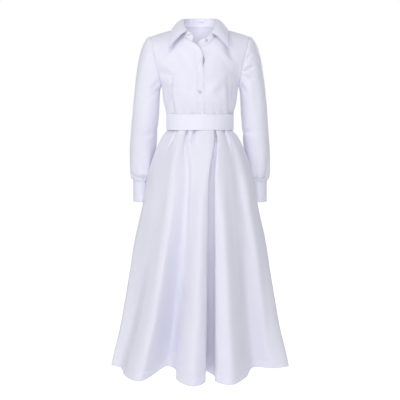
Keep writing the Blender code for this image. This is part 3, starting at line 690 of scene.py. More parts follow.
def add_mesh(
    name: str, points: np.ndarray, faces: Sequence, material: bpy.types.Material
) -> bpy.types.Object:
    """Makes a mesh piece that rides on the dress.

    Args:
        name: its name.
        points: its points in millimetres.
        faces: index lists, or an array with a row for each face.
        material: its finish.

    Returns:
        The object, at the origin.
    """
    mesh = bpy.data.meshes.new(name)
    mesh.from_pydata((points * MM).tolist(), [], [list(map(int, f)) for f in faces])
    mesh.materials.append(material)
    mesh.shade_smooth()
    piece = bpy.data.objects.new(name, mesh)
    bpy.context.scene.collection.objects.link(piece)
    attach(piece, BODY)
    log.info("%s: %d points, %d faces", name, len(points), len(faces))
    return piece


def add_cloth(
    name: str,
    surface: Surface,
    material: bpy.types.Material,
    thick: float = 0.8,
    node: str | None = None,
) -> bpy.types.Object:
    """Makes a surface into a thin sheet of cloth that replaces its solid.

    Args:
        name: the piece's name.
        surface: its form.
        material: its finish.
        thick: the thickness of the cloth.
        node: the solid that it stands for, or None for one named as the piece without "cloth_".

    Returns:
        The object.
    """
    rows, columns = surface.points.shape[:2]
    index = np.arange(rows * columns).reshape(rows, columns)
    level, drop = surface.across().mean(axis=0), surface.down().mean(axis=1)
    places = np.stack(np.broadcast_arrays(level[None, :], drop[:, None]), axis=-1)
    if surface.turn is Turn.ROUND:
        index = np.concatenate([index, index[:, :1]], axis=1)
    low, high = slice(None, -1), slice(1, None)
    corners = ((low, low), (low, high), (high, high), (high, low))
    faces = np.stack([index[c] for c in corners], axis=-1).reshape(-1, 4)
    spread = np.stack([places[c] for c in corners], axis=2).reshape(-1, 2)
    points = surface.points.reshape(-1, 3)
    first = points[faces[:, 1]] - points[faces[:, 0]]
    second = points[faces[:, 3]] - points[faces[:, 0]]
    if float((np.cross(first, second) * surface.normals().reshape(-1, 3)[faces[:, 0]]).sum()) < 0:
        faces = faces[:, ::-1]
        spread = spread.reshape(-1, 4, 2)[:, ::-1].reshape(-1, 2)
    piece = add_mesh(name, points, faces, material)
    layer = piece.data.uv_layers.new(name=UV_NAME)
    layer.data.foreach_set("uv", (spread * MM).ravel())
    wall = piece.modifiers.new("cloth", "SOLIDIFY")
    wall.thickness = thick * MM
    wall.offset = 0.0
    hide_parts(node or name.removeprefix("cloth_"))
    return piece


# Small trim


@dataclass
class Stitching:
    """Rows of thread stitches that lie on the cloth."""

    material: bpy.types.Material
    pitch: float = 3.0
    length: float = 2.3
    thick: float = 0.26
    lift: float = 0.5

    def shape(self) -> tuple[np.ndarray, np.ndarray]:
        """One stitch: three rings of five points that narrow to both ends, in along, side and up."""
        turn = math.tau * np.arange(5) / 5
        rings = ((-0.5, 0.45), (0.0, 1.0), (0.5, 0.45))
        points = np.array(
            [
                (a * self.length, r * self.thick * math.cos(t), r * self.thick * math.sin(t))
                for a, r in rings
                for t in turn
            ]
        )
        ring = np.arange(5)
        following = (ring + 1) % 5
        sides = [
            np.stack([ring + b, following + b, following + b + 5, ring + b + 5], axis=1) for b in (0, 5)
        ]
        return points, np.concatenate(sides)

    def sew(self, name: str, lines: Sequence[Line]) -> bpy.types.Object:
        """Sews stitches along the lines.

        Args:
            name: the piece's name.
            lines: where they run.

        Returns:
            One object with all of the stitches.
        """
        shape, quads = self.shape()
        found = [line.every(self.pitch, self.lift) for line in lines]
        place, way, normal = (np.concatenate(part) for part in zip(*found))
        aside = np.cross(normal, way)
        points = (
            place[:, None]
            + way[:, None] * shape[None, :, :1]
            + aside[:, None] * shape[None, :, 1:2]
            + normal[:, None] * shape[None, :, 2:]
        )
        faces = quads[None] + len(shape) * np.arange(len(place))[:, None, None]
        ends = np.stack([np.arange(5)[::-1], np.arange(10, 15)])
        caps = ends[None] + len(shape) * np.arange(len(place))[:, None, None]
        every = [*faces.reshape(-1, 4).tolist(), *caps.reshape(-1, 5).tolist()]
        return add_mesh(name, points.reshape(-1, 3), every, self.material)


def capped(index: np.ndarray) -> list[list[int]]:
    """The faces of a closed tube: quads between its rings, and a cap on each end ring.

    Args:
        index: its points' numbers, a ring in each row.

    Returns:
        Index lists.
    """
    beside = np.roll(index, -1, axis=1)
    quads = np.stack([index[:-1], beside[:-1], beside[1:], index[1:]], axis=-1)
    return [*quads.reshape(-1, 4).tolist(), index[0][::-1].tolist(), index[-1].tolist()]


@dataclass
class Button:
    """A turned pearl button with four holes and a cross of thread."""

    wardrobe: Wardrobe
    radius: float = 5.6
    slit_half: float = 6.5
    thick: float = 2.4
    columns: int = 48
    hole_out: float = 1.35
    profile: tuple[tuple[float, float], ...] = (
        (0.05, 0.0),
        (0.78, 0.0),
        (0.93, 0.12),
        (1.0, 0.38),
        (0.99, 0.62),
        (0.93, 0.88),
        (0.86, 0.98),
        (0.78, 0.94),
        (0.66, 0.76),
        (0.58, 0.70),
        (0.05, 0.68),
    )

    def frame_of(self, normal: np.ndarray) -> np.ndarray:
        """Three unit rows: a level way across the button, the way up it, and its normal."""
        normal = unit(normal)
        across = unit(np.cross((0.0, 0.0, 1.0), normal))
        return np.stack([across, np.cross(normal, across), normal])

    def add(self, name: str, seat: np.ndarray, normal: np.ndarray) -> None:
        """Sets the button with its thread on the cloth.

        Args:
            name: the node that it stands for.
            seat: the point of the cloth under its middle.
            normal: the way that it faces.
        """
        axes = self.frame_of(normal)
        turn = math.tau * np.arange(self.columns) / self.columns
        radius, height = np.array(self.profile).T
        flat = np.stack([np.outer(radius, np.cos(turn)), np.outer(radius, np.sin(turn))], axis=-1)
        flat = flat * self.radius
        tall = np.repeat(height[:, None] * self.thick, self.columns, axis=1)
        local = np.concatenate([flat, tall[..., None]], axis=-1).reshape(-1, 3)
        faces = capped(np.arange(len(local)).reshape(len(radius), self.columns))
        pearl = self.wardrobe.pearl
        piece = add_mesh(f"pearl_{name}", local @ axes + seat, faces, pearl)
        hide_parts(name)
        self.add_thread(name, seat, axes)

    def add_thread(self, name: str, seat: np.ndarray, axes: np.ndarray) -> None:
        """Sews the button on: two crossed strands that dip into the four holes.

        Args:
            name: the button's name.
            seat: the point of the cloth under its middle.
            axes: its three ways, one a row.
        """
        share = np.linspace(-1.0, 1.0, 13)
        turn = math.tau * np.arange(6) / 6
        points, faces = [], []
        for number, angle in enumerate((math.pi / 4, -math.pi / 4)):
            way = np.array([math.cos(angle), math.sin(angle), 0.0])
            aside = np.array([-way[1], way[0], 0.0])
            top = 0.68 * self.thick + 0.45 - 0.9 * np.abs(share) ** 4 + 0.25 * number
            line = way * share[:, None] * self.hole_out + np.array([0.0, 0.0, 1.0]) * top[:, None]
            ring = np.outer(np.cos(turn), aside) + np.outer(np.sin(turn), (0.0, 0.0, 1.0))
            tube = line[:, None] + ring[None] * 0.42
            size = len(share) * 6
            faces += capped(np.arange(size).reshape(-1, 6) + number * size)
            points.append(tube.reshape(-1, 3))
        local, thread = np.concatenate(points), self.wardrobe.thread
        add_mesh(f"thread_{name}", local @ axes + seat, faces, thread)

    def add_hole(self, name: str, place: np.ndarray, normal: np.ndarray) -> None:
        """Works a buttonhole: close stitches round a slit, as a flat oval ring with ribs.

        Args:
            name: the piece's name.
            place: its middle on the cloth.
            normal: the way that the cloth faces.
        """
        axes = self.frame_of(normal)
        turn = math.tau * np.arange(96) / 96
        middle = np.stack([np.cos(turn) * self.slit_half, np.sin(turn) * 1.15], axis=-1)
        outward = unit(np.stack([np.cos(turn) * 0.5, np.sin(turn)], axis=-1))
        rib = 0.46 + 0.08 * np.cos(48 * turn)
        around = math.tau * np.arange(8) / 8
        spread = np.cos(around)[None, :, None] * 0.85 * rib[:, None, None]
        flat = middle[:, None] + outward[:, None] * spread
        tall = np.sin(around)[None] * rib[:, None] * 0.7 + 0.45
        local = np.concatenate([flat, tall[..., None]], axis=-1)
        index = np.arange(96 * 8).reshape(96, 8)
        ahead, beside = np.roll(index, -1, axis=0), np.roll(index, -1, axis=1)
        both = np.roll(ahead, -1, axis=1)
        quads = np.stack([index, ahead, both, beside], axis=-1).reshape(-1, 4)
        worked = self.wardrobe.worked
        add_mesh(name, local.reshape(-1, 3) @ axes + place, quads, worked)


# The body of the dress


class Level(NamedTuple):
    """A horizontal section of the bodice, its depths measured from the middle plane."""

    z: float
    half_width: float
    front: float
    back: float
    middle: float


class NeckPoint(NamedTuple):
    """A point of the neck seam, from the left front end round the back to the right front end."""

    x: float
    y: float
    z: float


class Edge(NamedTuple):
    """How far a front reaches past the middle: x of its free edge and band seam, and its lift."""

    z: float
    edge_x: float
    seam_x: float
    lift: float


def column_of(rows: Sequence, name: str) -> np.ndarray:
    """One named column of a table."""
    return np.array([getattr(row, name) for row in rows], float)


def at_height(rows: Sequence, name: str, z: np.ndarray | float) -> np.ndarray:
    """A named column of a table of heights, read at the heights z."""
    order = np.argsort(column_of(rows, "z"))
    return track(column_of(rows, "z")[order], column_of(rows, name)[order], np.asarray(z, float))


@dataclass(frozen=True)
class Torso:
    """The form that the bodice, sleeves, collar and belt share."""

    levels: tuple[Level, ...] = (
        Level(z=-345.0, half_width=121.0, front=82.0, back=86.0, middle=2.0),
        Level(z=-315.0, half_width=122.0, front=83.0, back=87.0, middle=2.0),
        Level(z=-299.0, half_width=128.5, front=90.0, back=93.0, middle=3.0),
        Level(z=-268.0, half_width=136.0, front=99.0, back=99.0, middle=5.0),
        Level(z=-214.0, half_width=142.0, front=104.0, back=105.0, middle=8.0),
        Level(z=-170.0, half_width=160.0, front=100.0, back=107.0, middle=8.0),
        Level(z=-120.0, half_width=190.0, front=92.0, back=102.0, middle=8.0),
    )
    neck_points: tuple[NeckPoint, ...] = (
        NeckPoint(x=-4.0, y=-81.0, z=-76.0),
        NeckPoint(x=25.0, y=-78.0, z=-70.0),
        NeckPoint(x=47.0, y=-66.0, z=-50.0),
        NeckPoint(x=62.0, y=-35.0, z=-22.0),
        NeckPoint(x=66.0, y=5.0, z=0.0),
        NeckPoint(x=48.0, y=50.0, z=9.0),
        NeckPoint(x=0.0, y=67.0, z=12.0),
        NeckPoint(x=-48.0, y=50.0, z=9.0),
        NeckPoint(x=-66.0, y=5.0, z=0.0),
        NeckPoint(x=-62.0, y=-38.0, z=-22.0),
        NeckPoint(x=-52.0, y=-66.0, z=-42.0),
        NeckPoint(x=-27.0, y=-86.0, z=-58.0),
    )
    left_shoulder: int = 4
    nape: int = 6
    right_shoulder: int = 8
    neck_end: int = 11
    underarm_z: float = -214.0
    armhole_top: float = -31.0
    armhole_x: float = 162.5
    armhole_lean: float = 20.5
    armhole_notch: float = 2.0
    armhole_y: float = 8.0
    armhole_front: float = 58.0
    armhole_back: float = 62.0
    shoulder_bulge: float = 4.0

    @property
    def armhole_z(self) -> float:
        """The height of the armhole's middle."""
        return (self.armhole_top + self.underarm_z) / 2

    @property
    def armhole_rise(self) -> float:
        """Half the armhole's height."""
        return (self.armhole_top - self.underarm_z) / 2

    def armhole(self, psi: np.ndarray, side: Side, face: Face) -> np.ndarray:
        """The armhole seam, a leaning oval: psi is 0 at the shoulder point and pi at the underarm."""
        psi = np.asarray(psi, float)
        deep = self.armhole_front if face is Face.FRONT else self.armhole_back
        x = self.armhole_x + self.armhole_lean * np.cos(psi) - self.armhole_notch * np.sin(psi) ** 2
        y = self.armhole_y + face.value * deep * np.sin(psi)
        z = self.armhole_z + self.armhole_rise * np.cos(psi)
        return np.stack([side.value * x, y, z], axis=-1)

    def neck(self, where: np.ndarray | float) -> np.ndarray:
        """Points of the neck seam at places that count its points."""
        return curve_at(np.array(self.neck_points), np.atleast_1d(where))

    def shoulder(self, share: np.ndarray, side: Side) -> np.ndarray:
        """The shoulder seam from the neck to the shoulder point: a straight line that bulges upwards."""
        start = self.neck(self.left_shoulder)[0] * (side.value, 1, 1)
        end = self.armhole(np.array(0.0), side, Face.FRONT)
        points = start + (end - start) * share[:, None]
        points[:, 2] += 4.0 * self.shoulder_bulge * share * (1.0 - share)
        return points

    def section(
        self,
        z: np.ndarray,
        share: np.ndarray,
        side: Side,
        face: Face,
        start_x: np.ndarray | float = 0.0,
        end_x: np.ndarray | None = None,
    ) -> np.ndarray:
        """Horizontal sections of the bodice, as arcs of ellipses.

        Each runs from start_x to end_x, or to the side seam or armhole. Its ellipse is centred on the
        level's middle, as deep as the level says, and passes through the outer point.

        Args:
            z: heights, one a row.
            share: how far along each arc, one a column.
            side: which side of the dress.
            face: front or back.
            start_x: where the arcs start, as a distance from the middle.
            end_x: where they end, or None for the outer point.

        Returns:
            Points in rows and columns.
        """
        z = np.asarray(z, float)[:, None]
        middle = at_height(self.levels, "middle", z)
        deep = at_height(self.levels, "front" if face is Face.FRONT else "back", z)
        reach = deep - face.value * middle
        psi = np.arccos(np.clip((z - self.armhole_z) / self.armhole_rise, -1.0, 1.0))
        rim = self.armhole(psi, Side.LEFT, face)
        above = z > self.underarm_z
        outer_x = np.where(above, rim[..., 0], at_height(self.levels, "half_width", z))
        lean = np.arccos(np.clip(face.value * (rim[..., 1] - middle) / reach, 0.0, 1.0))
        outer = np.where(above, lean, math.pi / 2)
        half = outer_x / np.sin(outer)
        start = np.arcsin(np.asarray(start_x) / half)
        end = outer if end_x is None else np.arcsin(np.asarray(end_x) / half)
        angle = start + (end - start) * share[None]
        x = half * np.sin(angle)
        y = middle + face.value * reach * np.cos(angle)
        return np.stack([side.value * x, y, np.broadcast_to(z, x.shape)], axis=-1)

    def waist(self, angle: np.ndarray, out: np.ndarray) -> np.ndarray:
        """The oval of the waist, widened by `out`; its angle counts from the left side by the front."""
        level = self.levels[0]
        front = np.sin(angle) > 0
        deep = np.where(front, level.front + level.middle, level.back - level.middle) + out
        x = (level.half_width + out) * np.cos(angle)
        return np.stack([x, level.middle - deep * np.sin(angle)], axis=-1)


@dataclass
class Bodice:
    """The two fronts, the button band and the back."""

    torso: Torso
    wardrobe: Wardrobe
    upper_edge: tuple[Edge, ...] = (
        Edge(z=-345.0, edge_x=15.0, seam_x=-10.0, lift=0.7),
        Edge(z=-170.0, edge_x=14.0, seam_x=-10.0, lift=0.7),
        Edge(z=-140.0, edge_x=9.5, seam_x=-15.0, lift=2.5),
        Edge(z=-120.0, edge_x=9.0, seam_x=-16.0, lift=3.5),
    )
    under_edge: tuple[Edge, ...] = (
        Edge(z=-345.0, edge_x=-11.0, seam_x=-11.0, lift=-1.1),
        Edge(z=-170.0, edge_x=-5.0, seam_x=-5.0, lift=-1.1),
        Edge(z=-140.0, edge_x=13.0, seam_x=13.0, lift=-2.0),
        Edge(z=-120.0, edge_x=19.0, seam_x=19.0, lift=-2.5),
    )
    bust_x: float = 78.0
    bust_z: float = -236.0
    bust_out: float = 12.0
    bust_wide: float = 46.0
    bust_high: float = 44.0
    dart_top: tuple[float, float] = (104.0, -255.0)
    dart_low_x: float = 97.0
    dart_in: float = 3.5
    dart_wide: float = 9.0
    band_neck: float = 0.85
    open_aside: float = 24.0
    edge_bulge: dict[Side, float] = field(default_factory=lambda: {Side.RIGHT: 9.0, Side.LEFT: 3.0})
    flat_share: dict[Side, float] = field(default_factory=lambda: {Side.RIGHT: 0.0, Side.LEFT: 0.2})
    neck_turn: dict[Side, float] = field(default_factory=lambda: {Side.RIGHT: 7 / 12, Side.LEFT: 9 / 14})
    front_bulge: float = 37.0
    back_bulge: float = 38.0
    nape_bulge: float = 10.0
    bottom_z: float = -344.7
    step: float = 4.6
    crease_gain: float = 1.6
    blouse: float = 3.0
    blouse_z: float = -310.5
    blouse_wide: float = 5.0
    up_length: float = 150.0
    top_turn: float = 0.8
    right_creases: tuple[Crease, ...] = (
        Crease("waist dart", (-103.0, -190.0), (-109.0, -250.0), (-86.0, -338.0), 5.0, 3.2),
        Crease("dart roll", (-94.0, -214.0), (-100.0, -262.0), (-76.0, -330.0), 9.0, -2.4),
        Crease("side of the cup", (-128.0, -205.0), (-118.0, -240.0), (-116.0, -300.0), 13.0, 3.0),
        Crease("drag to the underarm", (-150.0, -160.0), (-120.0, -176.0), (-92.0, -182.0), 11.0, 3.4),
        Crease("fold over the arm", (-148.0, -134.0), (-122.0, -150.0), (-100.0, -148.0), 12.0, -2.6),
        Crease("chest hollow", (-70.0, -76.0), (-62.0, -110.0), (-44.0, -150.0), 20.0, 3.0),
        Crease("band drag", (-12.0, -178.0), (-24.0, -200.0), (-34.0, -246.0), 12.0, 1.8),
        Crease("belt tuck", (-58.0, -334.0), (-56.0, -314.0), (-52.0, -288.0), 4.0, 1.6),
        Crease("belt tuck by the band", (-30.0, -334.0), (-26.0, -316.0), (-20.0, -288.0), 4.0, 1.8),
    )
    left_creases: tuple[Crease, ...] = (
        Crease("waist dart", (100.0, -176.0), (105.0, -240.0), (109.0, -338.0), 5.0, 3.2),
        Crease("dart roll", (88.0, -200.0), (92.0, -256.0), (97.0, -330.0), 9.0, -2.4),
        Crease("side of the cup", (124.0, -210.0), (121.0, -250.0), (116.0, -318.0), 10.0, 3.2),
        Crease("upper chest hollow", (96.0, -88.0), (118.0, -132.0), (140.0, -188.0), 26.0, 4.4),
        Crease("ridge over the cup", (34.0, -238.0), (66.0, -196.0), (108.0, -176.0), 12.0, -3.0),
        Crease("hollow under the ridge", (52.0, -252.0), (80.0, -222.0), (104.0, -212.0), 12.0, 2.2),
        Crease("neck fold", (64.0, -78.0), (98.0, -108.0), (128.0, -158.0), 12.0, -3.6),
        Crease("belt tuck", (53.0, -336.0), (53.0, -312.0), (52.0, -280.0), 3.4, 2.6),
        Crease("second belt tuck", (78.0, -336.0), (80.0, -316.0), (83.0, -286.0), 4.0, 1.8),
    )
    back_creases: tuple[Crease, ...] = (
        Crease("left waist dart", (62.0, -196.0), (60.0, -262.0), (56.0, -340.0), 5.0, 2.8),
        Crease("right waist dart", (-62.0, -196.0), (-60.0, -262.0), (-56.0, -340.0), 5.0, 2.8),
        Crease("left drag to the arm", (136.0, -150.0), (104.0, -178.0), (70.0, -184.0), 12.0, 2.8),
        Crease("right drag to the arm", (-134.0, -158.0), (-108.0, -174.0), (-66.0, -190.0), 13.0, 2.4),
        Crease("shoulder blade left", (84.0, -70.0), (96.0, -112.0), (92.0, -160.0), 22.0, -2.6),
        Crease("shoulder blade right", (-82.0, -74.0), (-98.0, -108.0), (-90.0, -156.0), 20.0, -2.8),
        Crease("middle hollow", (0.0, -60.0), (3.0, -150.0), (0.0, -250.0), 20.0, 2.4),
        Crease("belt tuck left", (26.0, -344.0), (28.0, -322.0), (30.0, -296.0), 4.4, 1.8),
        Crease("belt tuck right", (-30.0, -344.0), (-28.0, -326.0), (-25.0, -302.0), 4.4, 1.6),
    )

    def rows(self) -> tuple[np.ndarray, np.ndarray]:
        """The heights of the lower rows and the shares of the upper ones."""
        plain = np.linspace(self.bottom_z, self.torso.underarm_z, 32)
        psi = np.linspace(math.pi, math.pi / 2, 22)[1:]
        arm = self.torso.armhole_z + self.torso.armhole_rise * np.cos(psi)
        return np.concatenate([plain, arm]), spaced(self.up_length, self.step)[1:]

    def upper(
        self,
        chest: np.ndarray,
        top: np.ndarray,
        bulge: np.ndarray,
        aside: np.ndarray | float,
        rise: np.ndarray,
        face: Face,
    ) -> np.ndarray:
        """Rows from the chest to the neck and shoulder: quadratic arcs that bulge out and up.

        Args:
            chest: the row that they start from.
            top: the points that they end at.
            bulge: how far each column's arc bulges.
            aside: how far its middle leans towards the wearer's left.
            rise: the share of the way up, one a row.
            face: front or back.

        Returns:
            Points in rows and columns.
        """
        middle = (chest + top) / 2 + bulge[:, None] * np.array([0.0, face.value * 0.84, 0.54])
        middle[:, 0] += aside
        t = rise[:, None, None]
        return chest * (1 - t) ** 2 + middle * 2 * t * (1 - t) + top * t**2

    def fit_armhole(
        self, rows: np.ndarray, rise: np.ndarray, share: np.ndarray, side: Side, face: Face
    ) -> None:
        """Draws the outer columns onto the armhole seam, by the fourth power of their share."""
        wanted = self.torso.armhole(math.pi / 2 * (1.0 - rise), side, face)
        rows += share[None, :, None] ** 4 * (wanted - rows[:, -1])[:, None]

    def add_bust(self, points: np.ndarray, share: np.ndarray) -> None:
        """Moves the front out over the cups by a bell, and in along the waist darts."""
        x, z = np.abs(points[..., 0]), points[..., 2]
        out = self.bust_out * np.exp(
            -(((x - self.bust_x) / self.bust_wide) ** 2) - ((z - self.bust_z) / self.bust_high) ** 2
        )
        out *= 1.0 - ease((share - 0.8) / 0.2)
        down = np.clip((self.dart_top[1] - z) / (self.dart_top[1] - WAIST_SEAM_Z), 0.0, 1.0)
        dart_x = self.dart_top[0] + (self.dart_low_x - self.dart_top[0]) * down
        fade = ease(down / 0.25) * ease((1.0 - down) / 0.25)
        points[..., 1] -= out - self.dart_in * fade * bell(x - dart_x, self.dart_wide)

    def front_form(self, side: Side, band: bool) -> tuple[Surface, np.ndarray]:
        """The bare form of a front or of the band.

        Args:
            side: the wearer's right front is the upper one.
            band: whether it is the band on the edge, and not the panel.

        Returns:
            The surface, and the share of each row that is above the chest.
        """
        torso = self.torso
        edges = self.upper_edge if side is Side.RIGHT else self.under_edge
        share = spaced(26.0, 3.2) if band else spaced(self.up_length, self.step)
        heights, rise = self.rows()
        ends = {n: side.value * at_height(edges, n, heights)[:, None] for n in ("edge_x", "seam_x")}
        if band:
            lower = torso.section(heights, share, side, Face.FRONT, ends["edge_x"], ends["seam_x"] - 0.1)
        else:
            lower = torso.section(heights, share, side, Face.FRONT, ends["seam_x"])
        fade = ease((50.0 - side.value * lower[..., 0]) / 32.0)
        self.add_bust(lower, np.zeros_like(share) if band else share)
        lower[..., 1] -= at_height(edges, "lift", heights)[:, None] * fade
        first = 0 if side is Side.LEFT else torso.neck_end
        shoulder_at = torso.left_shoulder if side is Side.LEFT else torso.right_shoulder
        reach = self.band_neck if side is Side.RIGHT else 0.0
        seam_at = first + side.value * reach
        aside = self.open_aside if side is Side.RIGHT else 0.0
        if band:
            top = torso.neck(first + (seam_at - side.value * 0.005 - first) * share)
            bulge = np.full(len(share), self.edge_bulge[side])
            lean = aside * (1.0 - 0.3 * share)
        else:
            turn = self.neck_turn[side]
            around = np.clip(share / turn, 0.0, 1.0)
            top = torso.neck(seam_at + (shoulder_at - seam_at) * around)
            past = share > turn
            top[past] = torso.shoulder((share[past] - turn) / (1.0 - turn), side)
            flat = self.flat_share[side]
            swell = ease((around - flat) / (1.0 - flat))
            bulge = self.edge_bulge[side] + (self.front_bulge - self.edge_bulge[side]) * swell
            lean = aside * 0.7 * (1.0 - ease(share / 0.35))
        upper = self.upper(lower[-1], top, bulge, lean, rise, Face.FRONT)
        if not band:
            self.fit_armhole(upper, rise, share, side, Face.FRONT)
        above = np.concatenate([np.zeros(len(heights)), rise])
        return Surface(np.concatenate([lower, upper])), above

    def front(self, side: Side) -> Surface:
        """A front panel with its creases, its edges turned in at the seams."""
        form, above = self.front_form(side, band=False)
        x, z = form.points[..., 0], form.points[..., 2]
        creases = self.right_creases if side is Side.RIGHT else self.left_creases
        rise = creased(creases, x, z) * self.crease_gain
        rise += ripple(x, z, 120.0, 1.1)
        share = np.linspace(0.0, 1.0, x.shape[1])
        hold = ease(form.across() / 14.0) * ease((form.across()[:, -1:] - form.across()) / 12.0)
        hold *= ease((1.0 - above[:, None]) * self.up_length / 22.0) * ease((z - WAIST_SEAM_Z) / 5.0)
        rise *= hold
        rise += self.blouse * bell(z - self.blouse_z, self.blouse_wide)
        ends = [-1, 0] if side is Side.RIGHT else [-1]
        rise += seam_turned(form, ends)
        turn = share[None] > self.neck_turn[side]
        rise -= self.top_turn * bell((1.0 - above[:, None]) * self.up_length, 2.2) * turn
        return form.moved(rise)

    def band(self) -> Surface:
        """The button band: a little proud, with two shallow stitched grooves and a pucker or two."""
        form, _ = self.front_form(Side.RIGHT, band=True)
        z = form.points[..., 2]
        across = form.across()
        from_seam = across[:, -1:] - across
        rise = 0.35 + ripple(across, z, 70.0, 0.35)
        for away in (across, from_seam):
            rise -= 0.15 * bell(away - 3.0, 1.1)
        rise += self.blouse * bell(z - self.blouse_z, self.blouse_wide)
        puckers = (
            Crease("fold under the opening", (0.0, -122.0), (10.0, -134.0), (24.0, -151.0), 3.2, 3.2),
            Crease("lip over that fold", (0.0, -113.0), (12.0, -126.0), (24.0, -141.0), 5.0, -2.0),
            Crease("slack above the button", (2.0, -206.0), (10.0, -214.0), (18.0, -228.0), 6.0, -1.2),
            Crease("pucker at the belt", (22.0, -334.0), (14.0, -318.0), (8.0, -292.0), 3.6, 2.4),
            Crease("drag below the button", (6.0, -252.0), (12.0, -266.0), (20.0, -284.0), 5.0, -0.9),
        )
        rise += creased(puckers, across, z) * ease(across / 4.0) * ease(from_seam / 4.0)
        return form.moved(rise)

    def back(self) -> Surface:
        """The back panel, from the right side seam to the left one, with its creases."""
        torso = self.torso
        share = spaced(self.up_length, self.step)
        heights, rise = self.rows()
        turn = 12 / 22
        halves = []
        for side in (Side.RIGHT, Side.LEFT):
            lower = torso.section(heights, share, side, Face.BACK)
            around = np.clip(share / turn, 0.0, 1.0)
            angle = torso.nape + (torso.left_shoulder - torso.nape) * around
            top = torso.neck(angle) * (side.value, 1, 1)
            past = share > turn
            top[past] = torso.shoulder((share[past] - turn) / (1.0 - turn), side)
            bulge = self.nape_bulge + (self.back_bulge - self.nape_bulge) * ease(share / turn)
            upper = self.upper(lower[-1], top, bulge, 0.0, rise, Face.BACK)
            self.fit_armhole(upper, rise, share, side, Face.BACK)
            halves.append(np.concatenate([lower, upper]))
        form = Surface(np.concatenate([halves[0][:, :0:-1], halves[1]], axis=1))
        form = softened(form, torso.underarm_z, 18.0)
        above = np.concatenate([np.zeros(len(heights)), rise])[:, None]
        x, z = form.points[..., 0], form.points[..., 2]
        lift = creased(self.back_creases, x, z) * self.crease_gain + ripple(x, z, 130.0, 0.9)
        across = form.across()
        lift *= ease(across / 12.0) * ease((across[:, -1:] - across) / 12.0)
        lift *= ease((1.0 - above) * self.up_length / 22.0) * ease((z - WAIST_SEAM_Z) / 5.0)
        lift += self.blouse * bell(z - self.blouse_z, self.blouse_wide)
        lift += seam_turned(form, [0, -1])
        outside = np.abs(np.concatenate([-share[:0:-1], share]))[None] > turn
        lift -= self.top_turn * bell((1.0 - above) * self.up_length, 2.2) * outside
        return form.moved(lift)

    def build(self) -> None:
        """Adds the four panels, the stitches of the band, its button and buttonhole."""
        satin = self.wardrobe.satin
        for side in Side:
            add_cloth(f"cloth_front_{side.word}", self.front(side), satin)
        add_cloth("cloth_bodice_back", self.back(), satin)
        band = self.band()
        add_cloth("cloth_button_band", band, satin, thick=1.3)
        Stitching(self.wardrobe.thread, lift=0.62).sew(
            "band_stitches", [band.line_inside(0, 3.0), band.line_inside(-1, 3.0)]
        )
        seat = self.band_point(band, -238.0, 13.0)
        button = Button(self.wardrobe)
        button.add("button_front", *seat)
        place, normal = self.band_point(band, -236.0, 20.0)
        button.add_hole("buttonhole_front", place, normal)

    def band_point(self, band: Surface, z: float, across: float) -> tuple[np.ndarray, np.ndarray]:
        """A point on the band's outer face and its normal, at a height and a way from the free edge."""
        row = int(np.abs(band.points[:, 0, 2] - z).argmin())
        column = int(np.abs(band.across()[row] - across).argmin())
        normal = band.normals()[row, column]
        return band.points[row, column] + normal * 0.7, normal


class CollarPoint(NamedTuple):
    """A point of the leaf's outer edge, and the place on the neck seam that it falls from."""

    neck: float
    x: float
    y: float
    z: float


